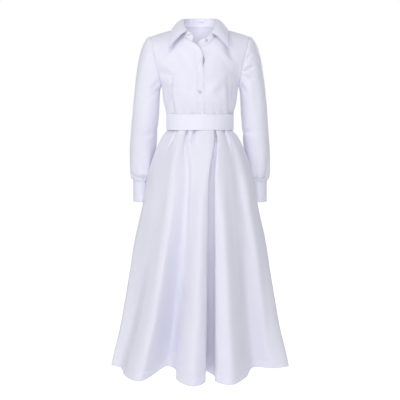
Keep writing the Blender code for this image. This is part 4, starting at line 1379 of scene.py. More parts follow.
@dataclass
class Collar:
    """The stand, the leaf that rolls over it, the stand's button and the hanger loop."""

    torso: Torso
    wardrobe: Wardrobe
    high: float = 31.0
    high_front: float = 27.0
    lean: float = 0.22
    inset: float = 0.9
    lift: float = 0.2
    bulge: float = 5.0
    bulge_up: float = 0.9
    roll_rise: float = 0.6
    columns: int = 160
    button_at: float = 0.95
    hole_at: float = 0.55
    edge: tuple[CollarPoint, ...] = (
        CollarPoint(neck=1.75, x=101.0, y=-90.0, z=-82.0),
        CollarPoint(neck=3.0, x=101.0, y=-62.0, z=-44.0),
        CollarPoint(neck=4.0, x=98.0, y=-6.0, z=2.0),
        CollarPoint(neck=5.0, x=70.0, y=66.0, z=2.0),
        CollarPoint(neck=6.0, x=0.0, y=90.0, z=0.0),
        CollarPoint(neck=7.0, x=-70.0, y=66.0, z=2.0),
        CollarPoint(neck=8.0, x=-99.0, y=-6.0, z=2.0),
        CollarPoint(neck=9.0, x=-107.0, y=-58.0, z=-44.0),
        CollarPoint(neck=10.25, x=-114.0, y=-87.0, z=-84.0),
    )

    def stand_point(self, where: np.ndarray, up: np.ndarray) -> np.ndarray:
        """Points of the stand: straight up from the neck seam, leaning in by a share of the rise."""
        torso = self.torso
        foot = torso.neck(where)
        along = torso.neck(where + 0.01) - torso.neck(where - 0.01)
        inward = unit(np.stack([-along[:, 1], along[:, 0], np.zeros(len(where))], axis=-1))
        from_end = np.minimum(where, torso.neck_end - where)
        tall = self.high_front + (self.high - self.high_front) * ease(from_end / 3.0)
        rise = (inward * self.lean + np.array([0.0, 0.0, 1.0])) / math.hypot(self.lean, 1.0)
        return foot + inward * self.inset + np.array([0.0, 0.0, self.lift]) + rise * (tall * up)[:, None]

    def stand(self) -> Surface:
        """The stand, its two ends rounded at the top by a quarter of an oval."""
        where = np.linspace(0.0, self.torso.neck_end, self.columns)
        from_end = np.minimum(where, self.torso.neck_end - where)
        tall = 0.55 + 0.45 * np.sqrt(np.clip(from_end / 0.5, 0.0, 1.0))
        rows = [self.stand_point(where, tall * up) for up in spaced(30.0, 3.5)]
        form = Surface(np.array(rows))
        groove = np.linspace(0.0, 30.0, len(rows))[:, None]
        return form.moved(-0.25 * bell(groove - 3.0, 1.0) * np.ones((1, len(where))))

    def leaf(self) -> Surface:
        """The leaf: from the top of the stand, over a roll, down to its edge.

        Each column is a straight fall with a swelling on top, the sine of a power of the way down.
        """
        first, last = self.edge[0].neck, self.edge[-1].neck
        where = first + (last - first) * spaced(460.0, 4.0)
        place = np.interp(where, column_of(self.edge, "neck"), np.arange(len(self.edge)))
        edge = curve_at(np.array([p[1:] for p in self.edge]), place)
        roll = self.stand_point(where, np.ones(len(where))) + np.array([0.0, 0.0, self.roll_rise])
        out = unit((edge - roll) * (1.0, 1.0, 0.0))
        t = np.concatenate([[0.0, 0.006, 0.02, 0.05], spaced(60.0, 3.0)[3:]])[:, None, None]
        swell = self.bulge * np.sin(math.pi * t**0.6)
        points = roll + (edge - roll) * t + (out + np.array([0.0, 0.0, self.bulge_up])) * swell
        form = Surface(points)
        share = t[:, 0, 0][:, None]
        across = form.across()
        edge_away = np.minimum((1.0 - share) * 62.0, np.minimum(across, across[:, -1:] - across))
        rise = 0.5 * bell(edge_away, 2.2) - 0.5 * bell(edge_away - 4.5, 1.3)
        rise += ripple(form.points[..., 0], form.points[..., 1] + form.points[..., 2], 90.0, 0.5) * share
        return form.moved(rise)

    def loop(self) -> Surface:
        """The hanger loop: a flat strip along the inside of the stand that bows away from it."""
        where = self.torso.nape + np.linspace(-0.34, 0.34, 25)
        rows = np.array([self.stand_point(where, np.full(25, up)) for up in (0.58, 0.62, 0.68, 0.72)])
        bow = 1.0 - np.linspace(-1.0, 1.0, 25) ** 2
        rows[..., 1] -= 1.5 + 0.9 * bow
        rows[..., 2] -= 0.6 * bow
        return Surface(rows, centre_y=-200.0)

    def leaf_lines(self, leaf: Surface) -> list[Line]:
        """The stitched lines 4.5 mm inside the leaf's three free edges."""
        long = leaf.line_across(len(leaf.points) - 2.6)
        keep = slice(3, -3)
        ends = [leaf.line_inside(e, 4.5) for e in (0, -1)]
        ends = [Line(e.points[6:-2], e.normals[6:-2]) for e in ends]
        return [Line(long.points[keep], long.normals[keep]), *ends]

    def build(self) -> None:
        """Adds the stand, leaf and loop with their stitches, and the stand's button and buttonhole."""
        satin = self.wardrobe.satin
        stand = self.stand()
        add_cloth("cloth_collar_stand", stand, satin, thick=1.2)
        leaf = self.leaf()
        add_cloth("cloth_collar_leaf", leaf, satin, thick=1.2)
        add_cloth("cloth_hanger_loop", self.loop(), satin, thick=0.9)
        sewing = Stitching(self.wardrobe.thread, lift=0.62)
        sewing.sew("collar_stitches", self.leaf_lines(leaf))
        foot = stand.line_across(1.2)
        sewing.sew("stand_stitches", [Line(foot.points[3:-3], foot.normals[3:-3])])
        button = Button(self.wardrobe)
        last = self.columns - 1
        row = len(stand.points) * 6 // 10
        at = round(self.button_at / self.torso.neck_end * last)
        normal = stand.normals()[row, at]
        button.add("button_stand", stand.points[row, at] + normal * 0.65, normal)
        at = last - round(self.hole_at / self.torso.neck_end * last)
        normal = stand.normals()[row, at]
        place = stand.points[row, at] + normal * 0.5
        button.add_hole("buttonhole_stand", place, normal)


class SleeveRing(NamedTuple):
    """A section of the sleeve: its outer and inner x, its middle and half depth in y, and tilt."""

    z: float
    outer: float
    inner: float
    middle: float
    half_depth: float
    tilt: float


@dataclass
class Sleeve:
    """One sleeve with its cuff, buttonhole and button."""

    torso: Torso
    wardrobe: Wardrobe
    side: Side
    rings: tuple[SleeveRing, ...] = (
        SleeveRing(z=-223.0, outer=241.5, inner=150.5, middle=13.0, half_depth=51.0, tilt=17.0),
        SleeveRing(z=-300.0, outer=251.5, inner=154.5, middle=22.0, half_depth=49.0, tilt=6.0),
        SleeveRing(z=-386.0, outer=259.5, inner=161.0, middle=36.0, half_depth=49.0, tilt=0.0),
        SleeveRing(z=-454.0, outer=266.5, inner=168.0, middle=50.0, half_depth=49.0, tilt=0.0),
        SleeveRing(z=-505.0, outer=268.5, inner=172.0, middle=57.0, half_depth=48.0, tilt=0.0),
        SleeveRing(z=-540.0, outer=267.0, inner=176.0, middle=61.0, half_depth=46.0, tilt=0.0),
        SleeveRing(z=-558.0, outer=263.0, inner=182.0, middle=62.0, half_depth=42.0, tilt=0.0),
        SleeveRing(z=-571.0, outer=258.0, inner=191.0, middle=63.0, half_depth=37.0, tilt=0.0),
    )
    crease_gain: float = 1.6
    cap_pull: float = 118.0
    under_pull: float = 12.0
    fall_pull: float = 105.0
    gathers: int = 5
    gather_deep: float = 3.0
    gather_z: float = -556.0
    fine_gathers: int = 19
    fine_deep: float = 1.5
    fine_z: float = -566.0
    cuff_top: float = -571.7
    cuff_bottom: float = -652.0
    cuff_x: float = 224.5
    cuff_y: float = 63.0
    cuff_half_width: float = 33.5
    cuff_half_depth: float = 37.0
    cuff_start: float = 283.0
    cuff_overlap: float = 34.0
    cuff_lift: float = 1.7
    right_creases: tuple[Crease, ...] = (
        Crease("underarm fold", (150.0, -176.0), (112.0, -196.0), (86.0, -236.0), 9.0, 4.0),
        Crease("fold below it", (146.0, -214.0), (112.0, -232.0), (78.0, -262.0), 9.0, 2.6),
        Crease("soft upper arm fold", (96.0, -150.0), (70.0, -196.0), (60.0, -280.0), 14.0, 2.2),
        Crease("cap dimple", (92.0, -84.0), (80.0, -100.0), (62.0, -112.0), 8.0, 1.8),
        Crease("elbow fold", (140.0, -372.0), (96.0, -396.0), (48.0, -402.0), 11.0, 2.6),
        Crease("inner elbow fold", (172.0, -350.0), (132.0, -384.0), (112.0, -430.0), 10.0, 2.8),
        Crease("forearm fold", (66.0, -420.0), (84.0, -480.0), (72.0, -545.0), 12.0, 2.6),
        Crease("second forearm fold", (122.0, -440.0), (112.0, -500.0), (124.0, -556.0), 11.0, 3.0),
        Crease("billow", (18.0, -530.0), (64.0, -548.0), (120.0, -540.0), 9.0, -2.6),
        Crease("tuck under the billow", (10.0, -534.0), (34.0, -556.0), (84.0, -564.0), 5.4, 3.6),
        Crease("back fold", (250.0, -300.0), (262.0, -380.0), (240.0, -470.0), 15.0, 2.6),
        Crease("outer fold", (6.0, -330.0), (14.0, -400.0), (2.0, -480.0), 16.0, -1.8),
    )
    left_creases: tuple[Crease, ...] = (
        Crease("sleeve head crease", (100.0, -140.0), (80.0, -126.0), (58.0, -104.0), 4.6, 7.0),
        Crease("second head crease", (102.0, -156.0), (84.0, -160.0), (56.0, -142.0), 4.6, 6.6),
        Crease("short third crease", (104.0, -172.0), (90.0, -182.0), (70.0, -190.0), 5.0, 4.4),
        Crease("cap fold", (86.0, -84.0), (70.0, -98.0), (48.0, -108.0), 7.0, 2.2),
        Crease("underarm fold", (148.0, -180.0), (116.0, -206.0), (98.0, -250.0), 9.0, 3.4),
        Crease("soft upper arm fold", (70.0, -210.0), (58.0, -260.0), (70.0, -330.0), 14.0, 2.0),
        Crease("elbow fold", (136.0, -376.0), (98.0, -388.0), (56.0, -380.0), 11.0, 2.4),
        Crease("inner elbow fold", (168.0, -366.0), (138.0, -396.0), (118.0, -440.0), 10.0, 2.6),
        Crease("forearm fold", (76.0, -430.0), (66.0, -490.0), (82.0, -552.0), 12.0, 2.4),
        Crease("outer forearm fold", (34.0, -470.0), (28.0, -520.0), (40.0, -560.0), 9.0, 2.4),
        Crease("billow", (40.0, -536.0), (76.0, -550.0), (110.0, -544.0), 9.0, -2.2),
        Crease("tuck under the billow", (14.0, -538.0), (36.0, -557.0), (78.0, -564.0), 5.4, 3.0),
        Crease("back fold", (246.0, -310.0), (258.0, -372.0), (244.0, -452.0), 15.0, 2.4),
    )

    def ring(self, z: np.ndarray, psi: np.ndarray) -> np.ndarray:
        """Sections of the tube as ovals, swelled by waves of their angle near the cuff.

        Args:
            z: heights, one a row.
            psi: angles, 0 at the outer side and a quarter turn at the front.

        Returns:
            Points in rows and columns.
        """
        z = np.asarray(z, float)[:, None]
        psi = psi[None]
        names = ("outer", "inner", "middle", "half_depth", "tilt")
        read = {n: at_height(self.rings, n, z) for n in names}
        fade = ease((z - self.rings[-1].z) / 6.0)
        wave = self.gather_deep * bell(z - self.gather_z, 26.0) * np.cos(self.gathers * psi)
        fine = np.cos(self.fine_gathers * psi + 1.3 * np.sin(2 * psi))
        fine = fine * bell(z - self.fine_z, 17.0)
        grow = 1.0 + (wave * fade + self.fine_deep * fine * (0.35 + 0.65 * fade)) / read["half_depth"]
        centre, half = (read["outer"] + read["inner"]) / 2, (read["outer"] - read["inner"]) / 2
        x = centre + half * np.cos(psi) * grow
        y = read["middle"] - read["half_depth"] * np.sin(psi) * grow
        height = z + read["tilt"] * np.cos(psi)
        return np.stack([self.side.value * x, y, height], axis=-1)

    def tube(self) -> Surface:
        """The sleeve: a cubic from the armhole over the cap to the first section, then the sections.

        It leaves the armhole outwards and arrives at the section falling.
        """
        columns = 96
        psi = math.tau * np.arange(columns) / columns
        root = self.torso.armhole(psi, self.side, Face.FRONT)
        deep = np.where(psi <= math.pi, self.torso.armhole_front, self.torso.armhole_back)
        root[:, 1] = self.torso.armhole_y - deep * np.sin(psi)
        under = ((1.0 - np.cos(psi)) / 2)[:, None]
        root = root + np.array([self.side.value, 0.0, 0.0]) * (0.3 + 0.6 * under**2)
        top = np.array([self.rings[0].z])
        first = self.ring(top, psi)[0]
        fall = (self.ring(top - 30.0, psi)[0] - first) * (self.fall_pull / 30.0)
        fall *= 1.0 - 0.55 * under
        pull = self.cap_pull + (self.under_pull - self.cap_pull) * under[:, 0]
        leave_z = -(14.0 + 26.0 * np.abs(np.sin(psi))) * (1.0 - 0.6 * under[:, 0])
        leave = np.column_stack([self.side.value * pull, -16.0 * np.sin(psi), leave_z])
        t = np.concatenate([[0.0, 0.006, 0.016, 0.03], np.linspace(0.05, 1.0, 34)])[:, None, None]
        back = 1.0 - t
        bend = t * back * (leave * back - fall * t)
        cap = root * (1 + 2 * t) * back**2 + first * t**2 * (3 - 2 * t) + bend
        lower = self.ring(np.linspace(-226.0, -553.0, 76), psi)
        cuff = self.ring(np.linspace(-556.0, -571.2, 9), psi)
        form = Surface(np.concatenate([cap, lower, cuff]), Turn.ROUND)
        return form.moved(self.relief(form, psi))

    def relief(self, form: Surface, psi: np.ndarray) -> np.ndarray:
        """The rise of the sleeve: creases, slow waves, ease at the cap and the groove at its seam."""
        arc = np.broadcast_to(np.degrees(psi)[None] * 0.8, form.points.shape[:2])
        z = form.points[..., 2]
        creases = self.right_creases if self.side is Side.RIGHT else self.left_creases
        rise = creased(creases, arc, z) * self.crease_gain
        around = np.sin(math.pi * np.clip(arc / 288.0, 0.0, 1.0))
        rise += ripple(arc, z, 130.0, 1.1) * ease(around / 0.2)
        down = form.down()
        hold = ease(down / 16.0) * ease((z + 572.0) / 14.0)
        rise = rise * hold
        upper = ease(np.cos(psi) / 0.5 + 0.5)[None]
        rise += upper * 0.7 * bell(down - 9.0, 7.0)
        rise += upper * 0.3 * np.cos(31 * psi)[None] * bell(down - 5.0, 6.0)
        return rise - 0.12 * bell(down, 1.6)

    def cuff(self) -> Surface:
        """The cuff: a band round an oval, one end lifted onto the other by a smooth step."""
        share = np.linspace(0.0, 1.0, 150)
        angle = np.radians(self.cuff_start + (360.0 + self.cuff_overlap) * share)
        out = self.cuff_lift * lapped(share, self.cuff_overlap)
        down = spaced(self.cuff_top - self.cuff_bottom, 4.0)
        heights = self.cuff_top + (self.cuff_bottom - self.cuff_top) * down
        x = self.side.value * (self.cuff_x + (self.cuff_half_width + out) * np.cos(angle))
        y = self.cuff_y - (self.cuff_half_depth + out) * np.sin(angle)
        points = np.stack(np.broadcast_arrays(x[None], y[None], heights[:, None]), axis=-1)
        form = Surface(points, centre_y=self.cuff_y)
        away = np.minimum(down, 1.0 - down)[:, None] * (self.cuff_top - self.cuff_bottom)
        rise = -0.3 * bell(away - 4.0, 1.2) * np.ones((1, len(share)))
        arc = np.broadcast_to(form.across(), rise.shape)
        rise = rise + ripple(arc, points[..., 2], 80.0, 0.5) * ease(away / 10.0)
        outward = self.outward(points)
        return Surface(points + outward * rise[..., None], centre_y=self.cuff_y)

    def outward(self, points: np.ndarray) -> np.ndarray:
        """The level unit ways out from the middle of the cuff."""
        return level_out(points, self.side.value * self.cuff_x, self.cuff_y)

    def cuff_place(self, cuff: Surface, column: int, rise: float) -> tuple[np.ndarray, np.ndarray]:
        """A place on the outside of the cuff at mid height, and the way that it faces."""
        point = cuff.points[len(cuff.points) // 2, column]
        normal = self.outward(point)
        return point + normal * rise, normal

    def build(self) -> None:
        """Adds the sleeve and cuff with stitches, button and buttonhole."""
        satin, word = self.wardrobe.satin, self.side.word
        add_cloth(f"cloth_sleeve_{word}", self.tube(), satin)
        cuff = self.cuff()
        add_cloth(f"cloth_cuff_{word}", cuff, satin, thick=1.2)
        outward = self.outward(cuff.points)
        rows = (2, len(cuff.points) - 3)
        lines = [Line(cuff.points[r][2:-2], outward[r][2:-2]) for r in rows]
        lines.append(Line(cuff.points[3:-3, -4], outward[3:-3, -4]))
        Stitching(self.wardrobe.thread, lift=0.62).sew(f"cuff_stitches_{word}", lines)
        button = Button(self.wardrobe)
        button.add(f"button_cuff_{word}", *self.cuff_place(cuff, 142, 0.65))
        place, normal = self.cuff_place(cuff, 140, 0.5)
        button.add_hole(f"buttonhole_cuff_{word}", place, normal)


class Width(NamedTuple):
    """The half width of the skirt at one height."""

    z: float
    half_width: float


class Fold(NamedTuple):
    """A fold line of the skirt from the belt past the hip to the hem, with the depth of its tuck."""

    name: str
    belt_x: float
    belt_tuck: float
    hip: tuple[float, float]
    hem: tuple[float, float]


class Tuck(NamedTuple):
    """A crisp pressed crease that starts at the belt on a fold line, and how far it drifts aside.

    It drops sharply from the side nearer the first fold and climbs back gently on the other.
    """

    fold: int
    depth: float
    width: float
    length: float
    drift: float


@dataclass
class Skirt:
    """The two flared panels with their tucks, flutes and inverted pleat."""

    torso: Torso
    wardrobe: Wardrobe
    widths: tuple[Width, ...] = (
        Width(z=-345.0, half_width=121.0),
        Width(z=-378.0, half_width=123.2),
        Width(z=-392.0, half_width=136.0),
        Width(z=-410.0, half_width=147.0),
        Width(z=-454.0, half_width=169.0),
        Width(z=-510.0, half_width=190.0),
        Width(z=-570.0, half_width=206.0),
        Width(z=-655.0, half_width=220.5),
        Width(z=-792.0, half_width=249.0),
        Width(z=-908.0, half_width=268.0),
        Width(z=-1026.0, half_width=288.5),
        Width(z=-1145.0, half_width=311.0),
        Width(z=-1240.0, half_width=334.5),
        Width(z=-1284.0, half_width=343.5),
    )
    top_z: float = -345.4
    belt_z: float = -377.0
    hip_z: float = -560.0
    hem_z: float = -1284.0
    side_y: float = 6.0
    front_folds: tuple[Fold, ...] = (
        Fold("left hollow", belt_x=-84.0, belt_tuck=5.0, hip=(-142.0, -92.0), hem=(-306.0, -12.0)),
        Fold("first flute side", belt_x=-75.0, belt_tuck=0.0, hip=(-122.0, -110.0), hem=(-276.0, -98.0)),
        Fold("first flute", belt_x=-64.0, belt_tuck=0.0, hip=(-94.0, -128.0), hem=(-218.0, -146.0)),
        Fold("first valley", belt_x=-47.0, belt_tuck=7.0, hip=(-53.0, -116.0), hem=(-125.0, -2.0)),
        Fold(
            "valley by the second flute",
            belt_x=-38.0,
            belt_tuck=2.0,
            hip=(-42.0, -117.0),
            hem=(-93.0, -30.0),
        ),
        Fold("second flute side", belt_x=-22.0, belt_tuck=5.0, hip=(-31.0, -135.0), hem=(-82.0, -132.0)),
        Fold("second flute", belt_x=12.0, belt_tuck=0.0, hip=(0.0, -148.0), hem=(-27.0, -190.0)),
        Fold("pleat left lip", belt_x=48.5, belt_tuck=0.5, hip=(29.5, -145.0), hem=(16.5, -156.0)),
        Fold("pleat back", belt_x=53.0, belt_tuck=9.0, hip=(31.0, -110.0), hem=(14.0, -46.0)),
        Fold("pleat right edge", belt_x=56.5, belt_tuck=4.0, hip=(50.0, -122.0), hem=(52.0, -92.0)),
        Fold("pleat right lip", belt_x=58.5, belt_tuck=0.5, hip=(54.0, -139.0), hem=(58.0, -147.0)),
        Fold("third flute", belt_x=72.0, belt_tuck=0.0, hip=(80.0, -136.0), hem=(111.0, -178.0)),
        Fold("third flute side", belt_x=85.0, belt_tuck=5.0, hip=(110.0, -117.0), hem=(167.0, -112.0)),
        Fold("right hollow", belt_x=96.0, belt_tuck=1.0, hip=(134.0, -99.0), hem=(206.0, -12.0)),
        Fold("right gore", belt_x=108.0, belt_tuck=0.5, hip=(172.0, -76.0), hem=(278.0, -24.0)),
    )
    back_folds: tuple[Fold, ...] = (
        Fold("left side hollow", belt_x=104.0, belt_tuck=2.0, hip=(172.0, 86.0), hem=(290.0, 62.0)),
        Fold("left outer flute", belt_x=84.0, belt_tuck=0.0, hip=(130.0, 124.0), hem=(220.0, 150.0)),
        Fold("left valley", belt_x=58.0, belt_tuck=6.0, hip=(86.0, 128.0), hem=(144.0, 86.0)),
        Fold("left inner flute", belt_x=30.0, belt_tuck=0.0, hip=(45.0, 152.0), hem=(72.0, 178.0)),
        Fold("middle valley", belt_x=3.0, belt_tuck=6.0, hip=(4.0, 141.0), hem=(3.0, 112.0)),
        Fold("right inner flute", belt_x=-27.0, belt_tuck=0.0, hip=(-43.0, 152.0), hem=(-78.0, 182.0)),
        Fold("right valley", belt_x=-58.0, belt_tuck=6.0, hip=(-90.0, 126.0), hem=(-150.0, 82.0)),
        Fold("right outer flute", belt_x=-84.0, belt_tuck=0.0, hip=(-132.0, 122.0), hem=(-226.0, 148.0)),
        Fold("right side hollow", belt_x=-104.0, belt_tuck=2.0, hip=(-172.0, 84.0), hem=(-294.0, 56.0)),
    )
    front_tucks: tuple[Tuck, ...] = (
        Tuck(fold=1, depth=10.0, width=2.0, length=90.0, drift=-9.0),
        Tuck(fold=4, depth=10.0, width=2.0, length=120.0, drift=-6.0),
        Tuck(fold=6, depth=10.0, width=2.0, length=70.0, drift=-6.0),
        Tuck(fold=9, depth=10.0, width=2.6, length=170.0, drift=0.0),
        Tuck(fold=13, depth=10.0, width=1.8, length=80.0, drift=5.0),
        Tuck(fold=15, depth=7.0, width=2.4, length=80.0, drift=3.0),
    )
    back_tucks: tuple[Tuck, ...] = (
        Tuck(fold=2, depth=8.0, width=2.2, length=90.0, drift=0.0),
        Tuck(fold=3, depth=10.0, width=2.0, length=150.0, drift=3.0),
        Tuck(fold=5, depth=10.0, width=2.2, length=130.0, drift=-2.0),
        Tuck(fold=7, depth=10.0, width=2.0, length=160.0, drift=-3.0),
        Tuck(fold=9, depth=8.0, width=2.2, length=80.0, drift=0.0),
    )
    front_creases: tuple[Crease, ...] = (
        Crease("drag on the first flute", (-110.0, -420.0), (-150.0, -620.0), (-178.0, -840.0), 20.0, 3.0),
        Crease(
            "ridge on the first flute", (-90.0, -430.0), (-122.0, -640.0), (-168.0, -960.0), 17.0, -2.4
        ),
        Crease(
            "soft fold on the second flute", (-8.0, -400.0), (-14.0, -560.0), (-22.0, -760.0), 16.0, 1.8
        ),
        Crease("low fold on the second flute", (4.0, -760.0), (0.0, -960.0), (-10.0, -1180.0), 15.0, -2.2),
        Crease("fold by the right gore", (112.0, -430.0), (156.0, -620.0), (196.0, -900.0), 18.0, 3.0),
        Crease("edge of the right gore", (128.0, -420.0), (182.0, -640.0), (250.0, -1080.0), 15.0, -2.4),
        Crease(
            "low fold on the right gore", (236.0, -880.0), (256.0, -1020.0), (270.0, -1200.0), 15.0, 2.6
        ),
        Crease("fold on the left side", (-150.0, -470.0), (-202.0, -700.0), (-262.0, -1040.0), 17.0, 2.4),
        Crease("hip dimple", (-160.0, -520.0), (-176.0, -590.0), (-190.0, -680.0), 14.0, -1.8),
    )
    back_creases: tuple[Crease, ...] = (
        Crease(
            "fold on the left outer flute", (120.0, -440.0), (160.0, -640.0), (196.0, -920.0), 18.0, 2.6
        ),
        Crease("fold on the left inner flute", (40.0, -500.0), (50.0, -700.0), (62.0, -940.0), 15.0, -2.0),
        Crease(
            "fold on the right inner flute", (-36.0, -520.0), (-52.0, -720.0), (-66.0, -980.0), 16.0, 2.0
        ),
        Crease(
            "fold on the right outer flute",
            (-124.0, -430.0),
            (-168.0, -660.0),
            (-210.0, -960.0),
            18.0,
            -2.4,
        ),
        Crease("fold on the right side", (-168.0, -500.0), (-216.0, -760.0), (-262.0, -1080.0), 16.0, 2.2),
    )
    pleat_fold: int = 9
    gentle: float = 2.4
    belt_share: float = 1.6
    crease_gain: float = 1.3
    swell: float = 2.8
    swell_z: float = -380.5
    columns: int = 236
    dent: float = 34.0
    dent_z: float = -605.0
    dent_y: float = 60.0
    dent_high: float = 112.0
    dent_wide: float = 42.0
    step: float = 5.6

    def fold_points(self, z: np.ndarray) -> np.ndarray:
        """The fold points of each section, round from the right side by the front.

        Each fold line is tracked from belt to hip to hem, its x as a share of the half width. At the
        belt it lies on the waist's oval, pressed in by its tuck.

        Args:
            z: heights, one a row.

        Returns:
            Rows of x and y points.
        """
        level = self.torso.levels[0]
        half = at_height(self.widths, "half_width", z)
        belt_half, hip_half, hem_half = (
            float(at_height(self.widths, "half_width", v)) for v in (self.belt_z, self.hip_z, self.hem_z)
        )
        stops = (-self.belt_z, -self.hip_z, -self.hem_z)
        side_y = track(stops, (level.middle, self.side_y, self.side_y), -z)
        out = at_height(self.widths, "half_width", np.maximum(z, self.belt_z)) - level.half_width
        ring = [np.stack([-half, side_y], axis=-1)]
        for folds, face in ((self.front_folds, Face.FRONT), (self.back_folds, Face.BACK)):
            deep = level.front + level.middle if face is Face.FRONT else level.back - level.middle
            if face is Face.BACK:
                ring.append(np.stack([half, side_y], axis=-1))
            for fold in folds:
                turn = math.sqrt(1.0 - (fold.belt_x / belt_half) ** 2)
                tuck = fold.belt_tuck * ease((level.z - z) / (level.z - self.belt_z))
                belt_y = level.middle + face.value * ((deep + out) * turn - tuck)
                shares = (fold.belt_x / belt_half, fold.hip[0] / hip_half, fold.hem[0] / hem_half)
                x = half * track(stops, shares, -z)
                below = track(stops, (belt_y[-1], fold.hip[1], fold.hem[1]), -z)
                ring.append(np.stack([x, np.where(z > self.belt_z, belt_y, below)], axis=-1))
        return np.stack(ring, axis=1)

    def ring(self, z: np.ndarray, where: np.ndarray) -> np.ndarray:
        """Sections of the skirt as closed smooth curves, dented where each sleeve lies."""
        folds = self.fold_points(z)
        flat = np.array([curve_at(row, where, Turn.ROUND) for row in folds])
        tall = z[:, None]
        near = bell(tall - self.dent_z, self.dent_high)
        near = near * bell(flat[..., 1] - self.dent_y, self.dent_wide)
        aside = ease((np.abs(flat[..., 0]) - 110.0) / 60.0)
        flat[..., 0] -= np.sign(flat[..., 0]) * self.dent * near * aside
        return np.concatenate([flat, np.broadcast_to(tall, flat.shape[:2])[..., None]], axis=-1)

    def heights(self) -> np.ndarray:
        """The heights of the rows: close at the belt and at the hem, even between."""
        tops = np.array([self.top_z, -352.0, -360.0, -368.0, -373.0, -375.8, -378.6])
        body = np.arange(self.belt_z - 5.0, self.hem_z + 34.0, -self.step)
        hem = np.array([32.5, 31.0, 30.0, 29.0, 27.0, 22.0, 16.0, 10.0, 5.0, 2.0, 0.0]) + self.hem_z
        return np.concatenate([tops, body, hem])

    def panel(self, face: Face) -> Surface:
        """A panel from side seam to side seam, with tucks, creases, slow waves and the turned hem.

        Args:
            face: front or back.

        Returns:
            Its surface.
        """
        turn_at = float(len(self.front_folds) + 1)
        total = turn_at + 1 + len(self.back_folds)
        start, end = (0.0, turn_at) if face is Face.FRONT else (turn_at, total)
        dense = np.linspace(start, end, 2400)
        edges = self.ring(np.array([self.belt_z, self.hem_z]), np.minimum(dense, total - 1e-6))
        belt, hem = np.linalg.norm(np.diff(edges, axis=1), axis=-1)
        length = np.concatenate([[0.0], np.cumsum(hem + self.belt_share * belt)])
        even = spaced(length[-1], length[-1] / self.columns)
        where = np.interp(even * length[-1], length, dense)
        z = self.heights()
        form = Surface(self.ring(z, np.minimum(where, total - 1e-6)))
        across = form.across()
        folds_at = np.array([np.interp(np.arange(start, end + 0.5), where, row) for row in across])
        tall = z[:, None]
        rise = np.zeros(across.shape)
        for tuck in self.front_tucks if face is Face.FRONT else self.back_tucks:
            down = np.clip((self.belt_z - tall) / tuck.length, 0.0, 1.0)
            away = across - folds_at[:, tuck.fold : tuck.fold + 1] - tuck.drift * down
            wide = tuck.width * (1.0 + 1.6 * down) * np.where(away > 0.0, self.gentle, 1.0)
            deep = tuck.depth * (1.0 - ease(down)) * ease((tall - WAIST_SEAM_Z) / -20.0)
            rise -= deep * bell(away, wide)
        rise += self.swell * bell(tall - self.swell_z, 4.5)
        creases = self.front_creases if face is Face.FRONT else self.back_creases
        x = form.points[..., 0]
        level = np.broadcast_to(tall, x.shape)
        rise += creased(creases, x, level) * self.crease_gain
        rise += ripple(x, 0.5 * level, 190.0, 1.6) * ease((-400.0 - tall) / 120.0)
        rise *= ease(across / 22.0) * ease((across[:, -1:] - across) / 22.0)
        if face is Face.FRONT:
            beside = np.abs(across - folds_at[:, self.pleat_fold : self.pleat_fold + 1])
            steep = (folds_at[:, self.pleat_fold + 2] - folds_at[:, self.pleat_fold - 1])[:, None] / 2
            rise = np.where(tall < self.belt_z - 40.0, rise * ease((beside - steep) / 14.0), rise)
        rise += seam_turned(form, [0, -1], turn_in=1.1, reach=3.0)
        up = tall - self.hem_z
        rise += 0.6 * ease((30.5 - up) / 2.0) - 0.4 * bell(up - 30.5, 1.6)
        surface = form.moved(rise)
        surface.points[..., 2] = np.where(tall <= self.hem_z + 0.1, self.hem_z, surface.points[..., 2])
        return surface

    def build(self) -> None:
        """Adds both panels."""
        for face in Face:
            name = f"cloth_skirt_{face.name.lower()}"
            add_cloth(name, self.panel(face), self.wardrobe.satin, thick=0.7)


